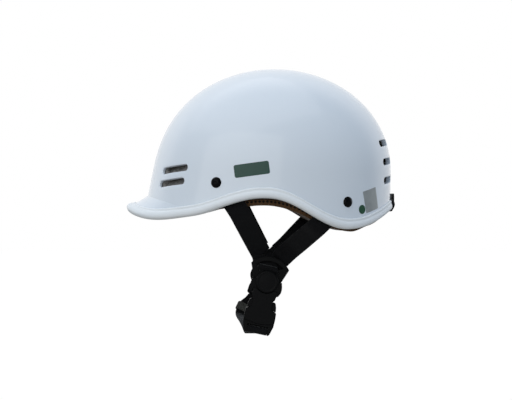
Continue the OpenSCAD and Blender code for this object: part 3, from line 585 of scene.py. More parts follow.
# Row 0 is the crown, so its quads become triangles that share one vertex
skin_size = grid.size
inner_quads = outer_quads[:, ::-1] + skin_size
rim = patch(np.stack([grid[:, -1], grid[:, -1] + skin_size], 1), wrap_i=True)
points = [outer_skin.reshape(-1, 3), inner_skin.reshape(-1, 3)]
faces = [outer_quads, inner_quads, rim]
count = 2 * skin_size
for place, (i0, i1, j0, j1), depth in zip(vent_places, vent_blocks, VENT_DEPTHS):
    i, j, s = border(i0, i1, j0, j1)
    top = to_frame(place, outer_skin[i, j])[2]
    rings = []
    # The lip is a quarter round, then the wall runs down to the collar's end and back outside
    for phi in np.radians([25, 50, 72, 90]):
        rings.append((VENT_LIP * (1 - np.sin(phi)), top - VENT_LIP * (1 - np.cos(phi))))
    wall = [(0, depth * 0.75), (0, depth - 0.2), (0.2, depth), (VENT_WALL - 0.2, depth), (VENT_WALL, depth - 0.2)]
    rings += [(x, top * 0 - z) for x, z in wall]
    loops = []
    for offset, height in rings:
        flat, _ = slot_outline(s, VENT_L + 2 * offset, VENT_H + 2 * offset)
        loops.append(from_frame(place, *flat.T, height))
    numbers = count + np.arange(len(loops) * len(i)).reshape(len(loops), len(i))
    numbers = np.concatenate([grid[i, j][None], numbers, grid[i, j][None] + skin_size], 0)
    points.append(np.concatenate(loops))
    faces.append(patch(numbers, wrap_j=True))
    count += len(loops) * len(i)

shell = make_piece("shell", np.concatenate(points), np.concatenate(faces), turn_out=False)
work = bmesh.new()
work.from_mesh(shell.data)
bmesh.ops.remove_doubles(work, verts=work.verts, dist=0.5e-6)
loose = [v for v in work.verts if not v.link_faces]
bmesh.ops.delete(work, geom=loose, context="VERTS")
bmesh.ops.recalc_face_normals(work, faces=work.faces)
work.to_mesh(shell.data)
work.free()
shell.data.set_sharp_from_angle(angle=np.radians(48))
# The crease under the forehead stays crisp: its edges lie on the belt of the outer face
x, y, z = points_of(shell.data).T
angle = np.degrees(np.arctan2(x, -y))
on_belt = (fold(angle) < BRIM_HALF_ANGLE) & (np.abs(z - belt_z(angle)) < 0.05)
ends, sharp = np.zeros(2 * len(shell.data.edges), int), np.zeros(len(shell.data.edges), bool)
shell.data.edges.foreach_get("vertices", ends)
shell.data.edges.foreach_get("use_edge_sharp", sharp)
shell.data.edges.foreach_set("use_edge_sharp", sharp | on_belt[ends.reshape(-1, 2)].all(1))
finish_piece(shell, "helmet", shell_white, ["outer_shell"])

# %% [markdown]
# ## The rim's trim
# The white trim is an extruded beading pushed over the shell's edge: one profile carried round the
# rim. The profile is drawn out of the shell and down past its edge, and its corners are cut twice
# to round them.

# %% Trim
trim_white = grainy(
    "trim_white", 700, 25, bump=(0.05, 0.0004), rough=(0.3, 0.46),
    Base_Color=(0.83, 0.855, 0.875, 1), Roughness=0.36, Coat_Weight=0.15, Coat_Roughness=0.2,
)

c, w, back = TRIM_CLIMB, TRIM_WALL, -SHELL_WALL - FIT
TRIM_PROFILE = [
    (0.02, -c), (0.1, -c - 0.5), (1.1, -c - 0.1), (1.5, -c + 0.6), (1.5, -c + 1.4), (1.35, -c + 2.2), (1.6, -c + 3.1),
    (2.1, -c / 2), (w + 0.1, -c / 3), (w + 0.1, -c / 7), (w - 0.3, w * 0.1), (w - 0.9, w * 0.5), (0.4, w * 0.82),
    (-0.8, w * 0.98), (back, w),
    (back - w * 0.8, w * 0.7), (back - w, 0), (back - w, -5), (back - w * 0.5, -5.8), (back, -5.6),
    (back, -3), (back, FIT), (-1.5, FIT), (FIT, FIT), (FIT, -3),
]
trim_a = full_turn(480)
rim_edge = shell_face(trim_a, np.ones_like(trim_a))
down = unit(rim_edge - shell_face(trim_a, np.full_like(trim_a, 0.99)))
radial = spot(trim_a, 1.0, 0.0)
flat_down = np.stack([(down * radial).sum(-1), down[:, 2]], -1)
trim_out = -flat_down[:, 1:] * radial + np.array([0, 0, 1]) * flat_down[:, :1]
profile = cut_corners(TRIM_PROFILE)
trim_points = rim_edge[:, None] + profile[:, :1] * trim_out[:, None] + profile[:, 1:] * down[:, None]
trim = make_piece("rim_trim", trim_points, patch(numbered(trim_points), True, True), sharp=60)
finish_piece(trim, "helmet", trim_white, ["edge_trim"])

# %% [markdown]
# ## Rivets
# Four black snap rivets hold the webbing. Each is a turned shape, so it is a profile of radius and
# height spun round the shell's normal: a dimple, a dome, a small flat foot, and the shank with its
# tail inside the foam.

# %% Lathe
RIVET_D, RIVET_H, SHANK_D = 10.3, 2.5, 5
FRONT_RIVET, REAR_RIVET = (59.6, -10.7), (128, -29.2)
GAP, CURVE_ROOM = 0.3, 0.5
PLATE_WALL, WEB_T, WASHER_WALL = 1.6, 1.6, 1.2
PLATE_IN = SHELL_WALL + GAP + CURVE_ROOM / 2
WEB_MID = PLATE_IN + PLATE_WALL + GAP + WEB_T / 2
RIVET_TAIL = WEB_MID + WEB_T / 2 + GAP + WASHER_WALL + 0.2


def turned(profile, places, around=64):
    """Points and faces of a profile, (radius, height) with both ends on the axis, spun at places."""
    r, h = np.asarray(profile, float).T
    turn = np.radians(full_turn(around))
    points, faces = [], []
    for k, place in enumerate(places):
        ring = from_frame(place, r[1:-1, None] * np.cos(turn), r[1:-1, None] * np.sin(turn), h[1:-1, None])
        start = k * ((len(r) - 2) * around + 2)
        index = start + np.arange((len(r) - 2) * around).reshape(-1, around)
        tips = start + (len(r) - 2) * around + np.arange(2)
        points += [ring.reshape(-1, 3), from_frame(place, 0, 0, h[[0, -1]])]
        ahead = np.roll(index, -1, 1)
        faces += patch(index, wrap_j=True).tolist()
        faces += np.stack([np.full(around, tips[0]), ahead[0], index[0]], 1).tolist()
        faces += np.stack([np.full(around, tips[1]), index[-1], ahead[-1]], 1).tolist()
    return np.concatenate(points), faces


def rivet_profile():
    """A spherical dome z = h - R + sqrt(R^2 - r^2) over a short foot, then shank and flared tail."""
    edge = RIVET_D / 2
    ball = (edge**2 + RIVET_H**2) / (2 * RIVET_H)
    r = np.linspace(1.5, edge - 0.15, 12)
    dome = np.stack([r, 0.2 + (RIVET_H - 0.2) * (RIVET_H - ball + np.sqrt(ball**2 - r**2)) / RIVET_H], 1)
    dimple = [(0, RIVET_H - 0.7), (0.7, RIVET_H - 0.68), (1.05, RIVET_H - 0.5), (1.25, RIVET_H - 0.22)]
    foot = [(edge, 0.24), (edge, 0.02), (edge - 0.2, -0.02), (SHANK_D / 2, -0.05)]
    tail = [(SHANK_D / 2, -RIVET_TAIL), (SHANK_D / 2 + 1, -RIVET_TAIL), (SHANK_D / 2 - 0.5, -RIVET_TAIL - 0.9)]
    return dimple + dome.tolist() + foot + tail + [(0, -RIVET_TAIL - 0.9)]


rivet_black = grainy(
    "rivet_black", 1500, 200, rough=(0.1, 0.2),
    Base_Color=(0.0015, 0.0015, 0.002, 1), Roughness=0.16, Specular_IOR_Level=0.12,
)

rivet_places = [place_on_shell(*spot_) for spot_ in (FRONT_RIVET, REAR_RIVET)]
rivet_places += [mirrored(place) for place in rivet_places]
points, faces = turned(rivet_profile(), rivet_places)
rivets = make_piece("snap_rivets", points, faces, sharp=50)
finish_piece(rivets, "helmet", rivet_black, ["strap_rivets"])

# %% [markdown]
# ## Labels
# Three thin foils lie on the shell's left side: a green one at the temple, a silver one and a
# green dot at the rear. Each is a closed plate whose outline is drawn in a flat frame and slid
# onto the dome.

# %% Labels


def surface_v(a, z):
    """The v at which the outer face lies at height z: the inverse of the dome's cosine."""
    zb = belt_z(a)
    return np.arccos(np.clip((z - zb) / (DOME_H - zb), -1, 1)) * 2 / np.pi * BELT_V


def rounded_outline(w, h, r, n=8):
    """A rectangle with quarter-circle corners, counterclockwise."""
    turn = np.radians(np.linspace(0, 90, n))
    corner = np.stack([np.cos(turn), np.sin(turn)], 1) * r
    parts = []
    for k, (sx, sy) in enumerate([(1, 1), (-1, 1), (-1, -1), (1, -1)]):
        c, s = [(1, 0), (0, 1), (-1, 0), (0, -1)][k]
        spun = np.stack([corner[:, 0] * c - corner[:, 1] * s, corner[:, 0] * s + corner[:, 1] * c], 1)
        parts.append(spun + [sx * (w / 2 - r), sy * (h / 2 - r)])
    return even_outline(np.concatenate(parts))


def even_outline(outline, step=0.8):
    """The same closed outline with points every step along it, so a plate can bend between them."""
    loop = np.concatenate([outline, outline[:1]])
    run = run_along(loop)
    at = np.unique(np.concatenate([run[:-1], np.arange(0, run[-1] - step / 2, step)]))
    return np.stack([np.interp(at, run, loop[:, 0]), np.interp(at, run, loop[:, 1])], 1)


def make_label(name, a, z, tilt, outline, material, thick=0.14, rings=6):
    """A plate between the dome and thick above it: rings shrink to the middle, edge rounded."""
    place = place_on_shell(a, z, tilt)
    share = np.concatenate([[1, 1.004, 0.995], np.linspace(0.97, 0.02, rings)])
    flat = share[:, None, None] * outline[None]
    angle = a + 0 * flat[..., 0]
    a_fit, v_fit = slide_to(flat.reshape(-1, 2), place, angle.ravel(), surface_v(angle.ravel(), z))
    normal = shell_normal(a_fit, v_fit)
    lift = np.array([-0.05, thick * 0.6, thick] + [thick + 0.02] * rings)[:, None]
    top = shell_face(a_fit, v_fit) + (lift + 0 * flat[..., 0]).reshape(-1, 1) * normal
    label = make_piece(name, top, capped(np.arange(len(top)).reshape(-1, len(outline))), sharp=40)
    finish_piece(label, "helmet", material)


def foil(name, colour, rough_value, metal=0.0):
    """Foil whose colour varies a little, with a fine grain."""
    colours = [c * 0.8 for c in colour], [c * 1.2 for c in colour]
    return grainy(name, 1200, 120, bump=(0.06, 0.0002), colours=colours, Roughness=rough_value,
                  Metallic=metal, Coat_Weight=0.3, Coat_Roughness=0.15)


green_foil = foil("green_foil", (0.003, 0.055, 0.038), 0.4)
dot_foil = foil("dot_foil", (0.008, 0.075, 0.03), 0.4)
silver_foil = foil("silver_foil", (0.36, 0.38, 0.38), 0.42, 0.35)
turn = np.radians(full_turn(36))
make_label("temple_label", 77.5, 1.6, 7.4, rounded_outline(33.5, 12.2, 1.8), green_foil)
make_label("rear_label", 143.4, -27.3, 14, rounded_outline(20, 21.4, 0.6), silver_foil)
make_label("rear_dot", 137, -36.4, 0, 4.4 * np.stack([np.cos(turn), np.sin(turn)], 1), dot_foil)

# %% [markdown]
# ## Foam liner
# The liner is expanded polystyrene: beads pressed together, so its skin shows small cells, which
# come from a Voronoi texture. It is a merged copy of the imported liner, fitted under this shell. Its
# channels move to the vents, and the front ones end as shallow pockets.

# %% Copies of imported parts


def merged_copy(name, *nodes, smooth=30, flatten=False, bevel=0.0, reshape=None):
    """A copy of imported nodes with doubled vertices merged. Flat neighbours may be joined, the
    points passed through a function in millimetres, and edges rounded by a bevel."""
    work = bmesh.new()
    for node in nodes:
        work.from_mesh(NODES[node].data)
    bmesh.ops.remove_doubles(work, verts=work.verts, dist=2e-6)
    if flatten:
        bmesh.ops.dissolve_limit(work, angle_limit=np.radians(1.5), verts=work.verts, edges=work.edges)
    return piece_from(work, name, smooth, bevel, reshape)


def piece_from(work, name, smooth=30, bevel=0.0, reshape=None):
    """Turns a bmesh into a smooth-shaded piece, reshaped and bevelled where asked."""
    mesh = bpy.data.meshes.new(name)
    work.to_mesh(mesh)
    work.free()
    if reshape:
        mesh.vertices.foreach_set("co", (reshape(points_of(mesh)) * MM).ravel())
        mesh.update()
    mesh.shade_smooth()
    mesh.set_sharp_from_angle(angle=np.radians(smooth))
    piece = add_object(name, mesh)
    if bevel:
        rounding = piece.modifiers.new("edges", "BEVEL")
        rounding.width = bevel * MM
        rounding.segments = 3
        rounding.limit_method = "ANGLE"
        rounding.angle_limit = np.radians(35)
        rounding.use_clamp_overlap = True
    return piece


# %% Liner sizes
FOAM_WALL, BAND_WALL, BAND_TOP, BAND_HEM = 20, 6, 20, 7
FOAM_IN = SHELL_WALL + GAP + CURVE_ROOM / 2
REBATE_IN = SHELL_WALL + FIT + TRIM_WALL + GAP
RIM_WEB_MID = REBATE_IN + CURVE_ROOM + WEB_T / 2
HEM_EDGE_IN = RIM_WEB_MID + WEB_T / 2 + GAP + CURVE_ROOM
BAND_IN = FOAM_IN + FOAM_WALL + GAP
HEM_HANG, EAR_HANG, HEM_TUCK = 1.8, 6, 8


def rim_beside(a):
    """Angle at which the rim lies level with the hem, seen from the side."""
    c = np.cos(np.radians(fold(a))) * (1 - 2 * (BAND_IN - HEM_EDGE_IN) / DOME_L)
    return np.degrees(np.arccos(c))


def hem_z(a):
    """Height of the hem: it follows the rim beside it and is tucked up under the brim."""
    b = rim_beside(a)
    tuck_end = float(rim_beside(0))
    hang = along([(0, -HEM_TUCK), (tuck_end, -HEM_TUCK), (54, -1), (66, HEM_HANG), (78, EAR_HANG), (90, EAR_HANG),
                  (106, EAR_HANG * 0.72), (120, HEM_HANG), (128, HEM_HANG), (138, -1.6), (150, -3), (180, -3)], b)
    return edge_z(b) - TRIM_WALL - hang


# %% Foam
foam_grey, tree, shader = new_material("foam_grey", Roughness=0.85, Specular_IOR_Level=0.25)
place = add_node(tree, "ShaderNodeTexCoord").outputs["Object"]
beads = add_node(tree, "ShaderNodeTexVoronoi", {"Vector": place}, feature="DISTANCE_TO_EDGE", Scale=320)
cells = add_node(tree, "ShaderNodeTexVoronoi", {"Vector": place}, Scale=320)
# The seams between beads are darker: painted shade in the hollows between them; each bead's tone varies at random
edge = map_range(tree, beads.outputs["Distance"], 0, 1, From_Max=0.12)
tint = add_node(tree, "ShaderNodeSeparateColor", {"Color": cells.outputs["Color"]})
shade = calc(tree, "MULTIPLY", edge, tint.outputs["Red"])
# Towards the nape the foam is painted a dark olive brown: painted shade deep in the rear vents, in the brown of the
# lining seen through them
to_nape = add_node(tree, "ShaderNodeSeparateXYZ", {"Vector": place}).outputs["Y"]
nape_shade = map_range(tree, to_nape, 0, 1, From_Min=0.04, From_Max=0.08)
tone = add_node(tree, "ShaderNodeMix", {"Factor": nape_shade}, data_type="RGBA")
for side, low, high in (("A", (0.22, 0.21, 0.2), (0.44, 0.42, 0.4)), ("B", (0.04, 0.032, 0.014), (0.1, 0.08, 0.04))):
    tree.links.new(shade_between(tree, shade, low, high), tone.inputs[side])
tree.links.new(tone.outputs["Result"], shader.inputs["Base Color"])
set_bump(tree, shader, edge, 0.5, 0.0004)

PACKED_VENTS = [(33, 3 - 13 * i, 5) for i in range(2)] + [(166, 31 - 18.8 * i, 5.5) for i in range(3)]
PACKED_FRONT_LEAN, PACKED_REAR_TUCK = 6.3, 1.5
# Depth of the front pockets now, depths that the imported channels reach, and their half sizes
POCKET_IN, PACKED_POCKET_IN, THROUGH = 5.8, 16, 45
CHANNEL_HALF_L, CHANNEL_HALF_H, CHANNEL_OUT = 21.4, 5.9, 8


def fit_foam(points):
    """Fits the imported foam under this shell: its wall leans as the shell does, it ends above the
    band's hem, and its channels move to the vents, where the front ones become shallow pockets."""
    x, y, z = points.T
    a, r = np.degrees(np.arctan2(x, -y)), np.hypot(x, y)
    c, share = np.cos(np.radians(a)), z / DOME_H
    packed = np.where(c > 0, PACKED_FRONT_LEAN, -PACKED_REAR_TUCK) * c * c
    packed = packed * np.where(z > 0, (1 - share) ** 2, 1 - 2 * share)
    r = r + lean(a) * np.where(z > 0, (1 - share) ** 4, 1 - 4 * share) - packed
    fitted = spot(a, r, np.maximum(z, hem_z(a) + BAND_HEM + CURVE_ROOM + GAP))
    packed_places = [place_on_shell(*vent) for vent in PACKED_VENTS]
    packed_places += [mirrored(place) for place in packed_places]
    for packed_place, vent_place, front in zip(packed_places, vent_places, [1, 1, 0, 0, 0] * 2):
        u, w, d = to_frame(packed_place, points)
        inside = (np.abs(u) < CHANNEL_HALF_L) & (np.abs(w) < CHANNEL_HALF_H)
        inside &= (d > (-PACKED_POCKET_IN if front else -THROUGH)) & (d < CHANNEL_OUT)
        d = np.maximum(d, -POCKET_IN) if front else d
        fitted = np.where(inside[:, None], from_frame(vent_place, u, w, d), fitted)
    return fitted


foam = merged_copy("foam_shell", "foam_liner", smooth=28, reshape=fit_foam)
finish_piece(foam, "helmet", foam_grey, ["foam_liner"])

# %% [markdown]
# ## Brown mesh lining
# The lining is warp-knitted mesh over thin foam, with rows of small holes. The holes are a node
# group on the piece's own UV map, which is laid out in metres, so they follow the cloth round
# every bend: alternate rows are shifted by half a hole.

# %% Perforated fabric
holes, h_in, h_out = new_group(
    "perforation", [("Pitch", "Float", 0.0034), ("Hole", "Float", 0.3)], [("Mask", "Float"), ("Thread", "Float")]
)
cloth = add_node(holes, "ShaderNodeUVMap", uv_map="cloth").outputs["UV"]
parts = add_node(holes, "ShaderNodeSeparateXYZ", {"Vector": cloth})
row = calc(holes, "DIVIDE", parts.outputs["Y"], h_in["Pitch"])
col = calc(holes, "DIVIDE", parts.outputs["X"], h_in["Pitch"])
col = calc(holes, "ADD", col, calc(holes, "MULTIPLY", calc(holes, "FLOOR", row), 0.5))
offsets = [calc(holes, "SUBTRACT", calc(holes, "FRACT", source), 0.5) for source in (row, col)]
far = calc(holes, "SQRT", calc(holes, "ADD", *[calc(holes, "MULTIPLY", offset, offset) for offset in offsets]))
soft = calc(holes, "ADD", h_in["Hole"], 0.09)
mask = add_node(holes, "ShaderNodeMapRange", {"Value": far, "From Min": h_in["Hole"], "From Max": soft})
thread = add_node(holes, "ShaderNodeTexNoise", {"Vector": cloth}, Scale=1800, Detail=2)
holes.links.new(mask.outputs["Result"], h_out["Mask"])
holes.links.new(thread.outputs["Fac"], h_out["Thread"])

lining_brown, tree, shader = new_material(
    "lining_brown", Roughness=0.9, Specular_IOR_Level=0.15, Sheen_Weight=0.25, Sheen_Roughness=0.5
)
mesh_cloth = use_group(tree, holes)
# The holes are painted near black: painted shade in each hole. The thread noise varies the tone at random
shade = calc(tree, "MULTIPLY", map_range(tree, mesh_cloth["Thread"], 0.55, 1), mesh_cloth["Mask"])
set_colour(tree, shader, shade, (0.006, 0.004, 0.002), (0.11, 0.053, 0.02))
set_bump(tree, shader, shade, 0.6, 0.0005)

# %% [markdown]
# ## Comfort band
# The band is a padded ring inside the foam. Its hem turns under the foam and shows below the trim
# in the ear arch. It is a closed profile carried round the helmet, and the inner face swells
# between sewn channels, one every 15 degrees, and a seam half way up.

# %% Band


def band_profile(low):
    """Height and depth of the closed profile for each height of the hem, its corners cut twice."""
    one = np.ones_like(low)
    t0, t1, shelf, mid = BAND_IN, BAND_IN + BAND_WALL, low + BAND_HEM, (low + BAND_TOP) / 2
    z = [shelf, low + 1, low, low - 0.2, low + 1.2, low + 6, (low + mid) / 2 + 3, mid, (mid + BAND_TOP) / 2,
         (BAND_TOP - 5) * one, (BAND_TOP - 1) * one, BAND_TOP * one, BAND_TOP / 2 * one, 0 * one, shelf]
    depth = [HEM_EDGE_IN, HEM_EDGE_IN - 0.1, HEM_EDGE_IN + 2, t0, t1 - 1.5, t1, t1 + 0.3, t1 + 0.6, t1 + 0.3,
             t1, t1 - 2, t0, t0, t0, t0]
    return cut_corners(np.stack([np.stack(z), np.array(depth)[:, None] * one], -1)).T


# Sewn channels: degrees apart and millimetres of girth per degree, swell, and depth of a seam
PAD_EVERY, MM_PER_DEGREE, PUFF, SEAM_DEEP = 15, 1.35, 0.9, 2.6
band_a = full_turn(432)
band_zs, band_depth = band_profile(hem_z(band_a))
low, mid = hem_z(band_a)[:, None], ((hem_z(band_a) + BAND_TOP) / 2)[:, None]
inner = np.clip((band_depth - BAND_IN - 3.2) / 2, 0, 1) * np.clip((band_zs - low - 2) / 5, 0, 1)
inner = inner * np.clip((BAND_TOP - 1 - band_zs) / 4, 0, 1)
half_pad = PAD_EVERY / 2
beside_seam = np.abs((band_a[:, None] + half_pad) % PAD_EVERY - half_pad) * MM_PER_DEGREE
seam = np.maximum(bell(beside_seam, 1.5), bell(band_zs - mid, 1.6))
puff = inner * (PUFF - SEAM_DEEP * seam)
band_points = spot(band_a[:, None] + 0 * band_zs, reach(band_a[:, None], band_zs, band_depth + puff), band_zs)
step = np.linalg.norm(np.diff(band_points, axis=1, prepend=band_points[:, :1]), axis=-1)
band_uv = np.stack([np.radians(band_a)[:, None] * 88 + 0 * step, np.cumsum(step.mean(0))[None, :] + 0 * step], -1)
band = make_piece("brow_band", band_points, patch(numbered(band_points), True, True), uv=band_uv)
finish_piece(band, "helmet", lining_brown, ["comfort_band"])

# %% [markdown]
# A thin cord is sewn into the hem as piping, which gives the lining its crisp lower line.

# %% Piping


def tube(path, radius, sides=12, closed=False):
    """Points and faces of a round tube along a path: circles square to the path's direction."""
    path = np.asarray(path, float)
    if closed:
        ahead = unit(np.roll(path, -1, 0) - np.roll(path, 1, 0))
    else:
        ahead = unit(np.gradient(path, axis=0))
    side = unit(np.cross(ahead, np.where(np.abs(ahead[:, 2:]) < 0.9, [[0, 0, 1.0]], [[1.0, 0, 0]])))
    lift = np.cross(side, ahead)
    turn = np.radians(full_turn(sides))
    ring = path[:, None] + radius * (np.cos(turn)[:, None] * side[:, None] + np.sin(turn)[:, None] * lift[:, None])
    index = numbered(ring)
    return ring.reshape(-1, 3), patch(index, True, True).tolist() if closed else capped(index)


pipe_a = full_turn(360)
pipe_z = hem_z(pipe_a) + 0.1
points, faces = tube(spot(pipe_a, reach(pipe_a, pipe_z, HEM_EDGE_IN + 1.1), pipe_z), 0.95, closed=True)
piping = make_piece("hem_piping", points, faces)
piping_brown = grainy("piping_brown", 1600, 300, bump=(0.4, 0.0003),
                      colours=((0.05, 0.026, 0.012), (0.13, 0.07, 0.032)), Roughness=0.9, Specular_IOR_Level=0.15)
finish_piece(piping, "helmet", piping_brown)

# %% [markdown]
# ## Crown pad
# A round cushion of the same cloth under the crown. From above it is an oval grid of rings; its
# underside bulges as a flattened half ellipse, drawn in by a ring seam and six spokes.

# %% Pad
PAD_R, PAD_WALL = 46, 8


def pad_top(a, r, depth):
    """Height of the foam's inner face at a small reach r from the axis, less some room."""
    share = np.clip(r / (plan_reach(a) - depth), 0, 1)
    return (DOME_H - depth) * (1 - share**2) ** (1 / SIDE_POWER) - CURVE_ROOM - GAP


pad_a = full_turn(144)
f = np.concatenate([np.linspace(0.015, 0.97, 22), [0.992, 1.0, 0.996, 0.985], np.linspace(0.97, 0.015, 40)])
under = np.arange(len(f)) > 23
r = PAD_R * (1 + (DOME_L / DOME_W - 1) * np.cos(np.radians(pad_a)) ** 2)[:, None] * f
thick = 1.6 + (PAD_WALL - 1.6) * np.sqrt(np.clip(1 - f**2, 0, 1))
edge_drop = np.select([np.arange(len(f)) == i for i in (23, 24, 25)], [0.4, 0.9, 1.4], 0)
spoke = np.abs((pad_a[:, None] + 30) % 60 - 30) / 57.3 * r
seam = np.maximum(bell(spoke, 1.6) * (r > 16) * (f < 0.93), bell((f - 0.36) * 45, 1.6))
drop = np.where(under, thick * np.where(f < 0.97, 1, 0.9) + 0.4 - 2.2 * seam * np.clip((1 - f) * 8, 0, 1), edge_drop)
pad_points = spot(pad_a[:, None] + 0 * r, r, pad_top(pad_a[:, None], r, FOAM_IN + FOAM_WALL + GAP) - drop)
index = numbered(pad_points)
faces = patch(index, wrap_i=True).tolist() + [index[:, 0].tolist(), index[::-1, -1].tolist()]
pad = make_piece("crown_cushion", pad_points, faces, uv=pad_points[..., :2])
finish_piece(pad, "helmet", lining_brown, ["crown_pad"])

# %% [markdown]
# ## Webbing
# The webbing is black polyester, 20 mm wide and 1.6 mm thick. A strap is a row of stations, each
# with its centre, the way it faces, its width and, at the ring's bar, the direction across. A
# smooth spline through them carries a flat section with rounded selvages.

# %% Harness frame
WEB_W, WEB_BUNCHED = 20, 19
SWIVEL = np.array([66.0, -8.0, -107.2])
TILT, LINK_TILT = 12, 18
UP = np.array([0, np.sin(np.radians(TILT)), np.cos(np.radians(TILT))])
REAR = np.array([0, np.cos(np.radians(TILT)), -np.sin(np.radians(TILT))])
LINK_UP = np.array([0, np.sin(np.radians(LINK_TILT)), np.cos(np.radians(LINK_TILT))])
X = np.array([1.0, 0, 0])
RING_R, RING_T, COLLAR_T, BUCKLE_T, CAP_SINK = 24.2, 3, 4, 9, 2.2
BAR_V, BAR_W = 12, 2.6
COLLAR_X1 = BUCKLE_T / 2 - CAP_SINK
RING_MID = COLLAR_X1 - COLLAR_T - GAP - RING_T / 2
WRAP_R = np.hypot(RING_T, BAR_W) / 2 + 0.15 + WEB_T / 2
BEHIND_X = RING_MID - RING_T / 2 - GAP - WEB_T / 2
LAP = WEB_T + GAP


HARNESS = (SWIVEL, REAR, UP, X)


def harness(x, u, v):
    """A point of the left swivel's frame: x out of it, u to the rear, v up along the harness."""
    return from_frame(HARNESS, u, v, x)


def behind(layer, u, v):
    """A point behind the ring and some layers of webbing, in ring radii from the ring's bar."""
    return harness(BEHIND_X - layer * LAP, u * RING_R, BAR_V + v * RING_R)


def wall_spot(a, z, depth):
    """Point of a layer at some depth in the wall."""
    return spot(a, reach(a, z) - depth, z)


def wall_face(a, z):
    """Outward direction of the wall."""
    n = plan_normal(a, z)
    return unit(np.array([np.sin(n), -np.cos(n), np.sin(rise(a, z))]))


def strap_top(a0, z0, a1, z1):
    """Stations from the rivet down the shell's inner face to the rim."""
    n0, top, exit_ = wall_face(a0, z0), wall_spot(a0, z0, WEB_MID), wall_spot(a1, z1, RIM_WEB_MID)
    chord = exit_ - top
    lead = unit(chord - (chord @ n0) * n0)
    am, zm = a0 + (a1 - a0) * 0.65, z0 + (z1 - z0) * 0.65
    return [(top - lead * 9, n0, WEB_W), (top, n0, WEB_W), (top + lead * 7, n0, WEB_W),
            (wall_spot(am, zm, RIM_WEB_MID), wall_face(am, zm), WEB_W), (exit_, wall_face(a1, z1), WEB_W)]


def free_run(top, near):
    """Stations between the rim and the ring, where the strap turns to face outwards."""
    exit_, face0 = top[-1][0], top[-1][1]
    free = exit_ - near
    face = unit(X - (X @ unit(free)) * unit(free))
    return [(exit_ - free * 0.3, unit(face0 + face), WEB_W), (near + free * 0.35, unit(face + X * 0.3), WEB_W),
            (near, unit(face + X), WEB_W)]


def front_stations():
    """Down behind the arched bar, out through the ring, round its cross bar, and a tail behind."""
    top = strap_top(*FRONT_RIVET, 70, -39)
    near = behind(0, -0.54, 0.64)
    turn = np.radians(45 - 37.5 * np.arange(7))
    wrap = [(harness(RING_MID + WRAP_R * np.cos(t), -2.1 + i * 0.7, BAR_V + WRAP_R * np.sin(t)),
             X * np.cos(t) + UP * np.sin(t), WEB_BUNCHED, REAR) for i, t in enumerate(turn)]
    return top + free_run(top, near) + [
        (behind(0, -0.33, 0.4), X, WEB_W, unit(REAR + UP * 0.45)),
        (behind(0, -0.16, 0.24), X, WEB_BUNCHED, unit(REAR + UP * 0.1)),
        (harness(BEHIND_X + 1.1, -2, BAR_V + 3.2), unit(X + UP), WEB_BUNCHED - 0.6, REAR),
        (harness(RING_MID + 0.6, -2, BAR_V + 2.6), UP, WEB_BUNCHED - 0.4, REAR),
    ] + wrap + [
        (behind(2, 0.17, 0.25), -X, WEB_BUNCHED, REAR),
        (behind(2, 0.41, 0.583), -X, WEB_BUNCHED, unit(REAR - UP * 0.6)),
        (behind(2, 0.6, 0.85), -X, WEB_BUNCHED, unit(REAR - UP * 0.75)),
    ]


def rear_stations():
    """Down to the ring, where its end is sewn between the front strap and that strap's tail."""
    top = strap_top(*REAR_RIVET, 112.6, -53.5)
    near = behind(1, 0.65, 0.925)
    return top + free_run(top, near) + [
        (behind(1, 0.41, 0.583), X, WEB_W),
        (behind(1, 0.22, 0.3), X, WEB_W, unit(REAR - UP * 0.5)),
        (harness(BEHIND_X - LAP, 0.04 * RING_R, BAR_V - 3.2), X, WEB_W, unit(REAR - UP * 0.3)),
    ]


# %% Strap sweep


def spline(values, samples):
    """Catmull-Rom curve through rows of values, at fractional row numbers."""
    p = np.concatenate([2 * values[:1] - values[1:2], values, 2 * values[-1:] - values[-2:-1]])
    i = np.clip(samples.astype(int), 0, len(values) - 2)
    t = (samples - i)[:, None]
    a, b, c, d = p[i], p[i + 1], p[i + 2], p[i + 3]
    return 0.5 * (2 * b + (c - a) * t + (2 * a - 5 * b + 4 * c - d) * t**2 + (3 * b - a - 3 * c + d) * t**3)


def web_section(thick):
    """Half of a web's section as (share of the half width, height): nearly flat, with a selvage."""
    s = np.linspace(-1, 1, 19)
    crown = thick / 2 * (1 - 0.12 * np.abs(s) ** 6)
    top = np.stack([s, crown], 1)
    turn = np.radians([60, 20, -20, -60])
    end = np.stack([1 + 0 * turn, 0 * turn], 1)
    bulge = np.stack([thick / 2 * np.cos(turn), thick / 2 * 0.88 * np.sin(turn)], 1)
    return top, end, bulge


def sweep_strap(stations, thick=WEB_T, step=1.0):
    """Points, faces and UV of a strap. The section is set square to the run, or along the
    direction across where a station names one, and UV counts millimetres."""
    centre = np.array([s[0] for s in stations], float)
    face = np.array([s[1] for s in stations], float)
    width = np.array([s[2] for s in stations], float)
    ahead = unit(np.gradient(centre, axis=0))
    across = unit(np.cross(ahead, face))
    across = np.array([s[3] if len(s) > 3 else a for s, a in zip(stations, across)])
    length = np.linalg.norm(np.diff(centre, axis=0), axis=1)
    count = np.maximum(3, (length / step).astype(int))
    samples = np.concatenate([i + np.arange(n) / n for i, n in enumerate(count)] + [[len(centre) - 1.0]])
    line = spline(centre, samples)
    across = unit(spline(across, samples))
    half = spline(width[:, None], samples) / 2 - thick / 2
    ahead = unit(np.gradient(line, axis=0))
    face = unit(np.cross(across, ahead))
    top, end, bulge = web_section(thick)
    share = np.concatenate([top[:, 0], end[:, 0], -top[:, 0], -end[:, 0]])
    extra = np.concatenate([0 * top[:, 0], bulge[:, 0], 0 * top[:, 0], -bulge[:, 0]])
    height = np.concatenate([top[:, 1], bulge[:, 1], -top[:, 1], -bulge[:, 1]])
    points = line[:, None] + across[:, None] * (half * share + extra)[..., None] + face[:, None] * height[:, None]
    uv = np.stack([half * share + extra, run_along(line)[:, None] + 0 * share], -1)
    return points.reshape(-1, 3), capped(numbered(points)), uv.reshape(-1, 2)


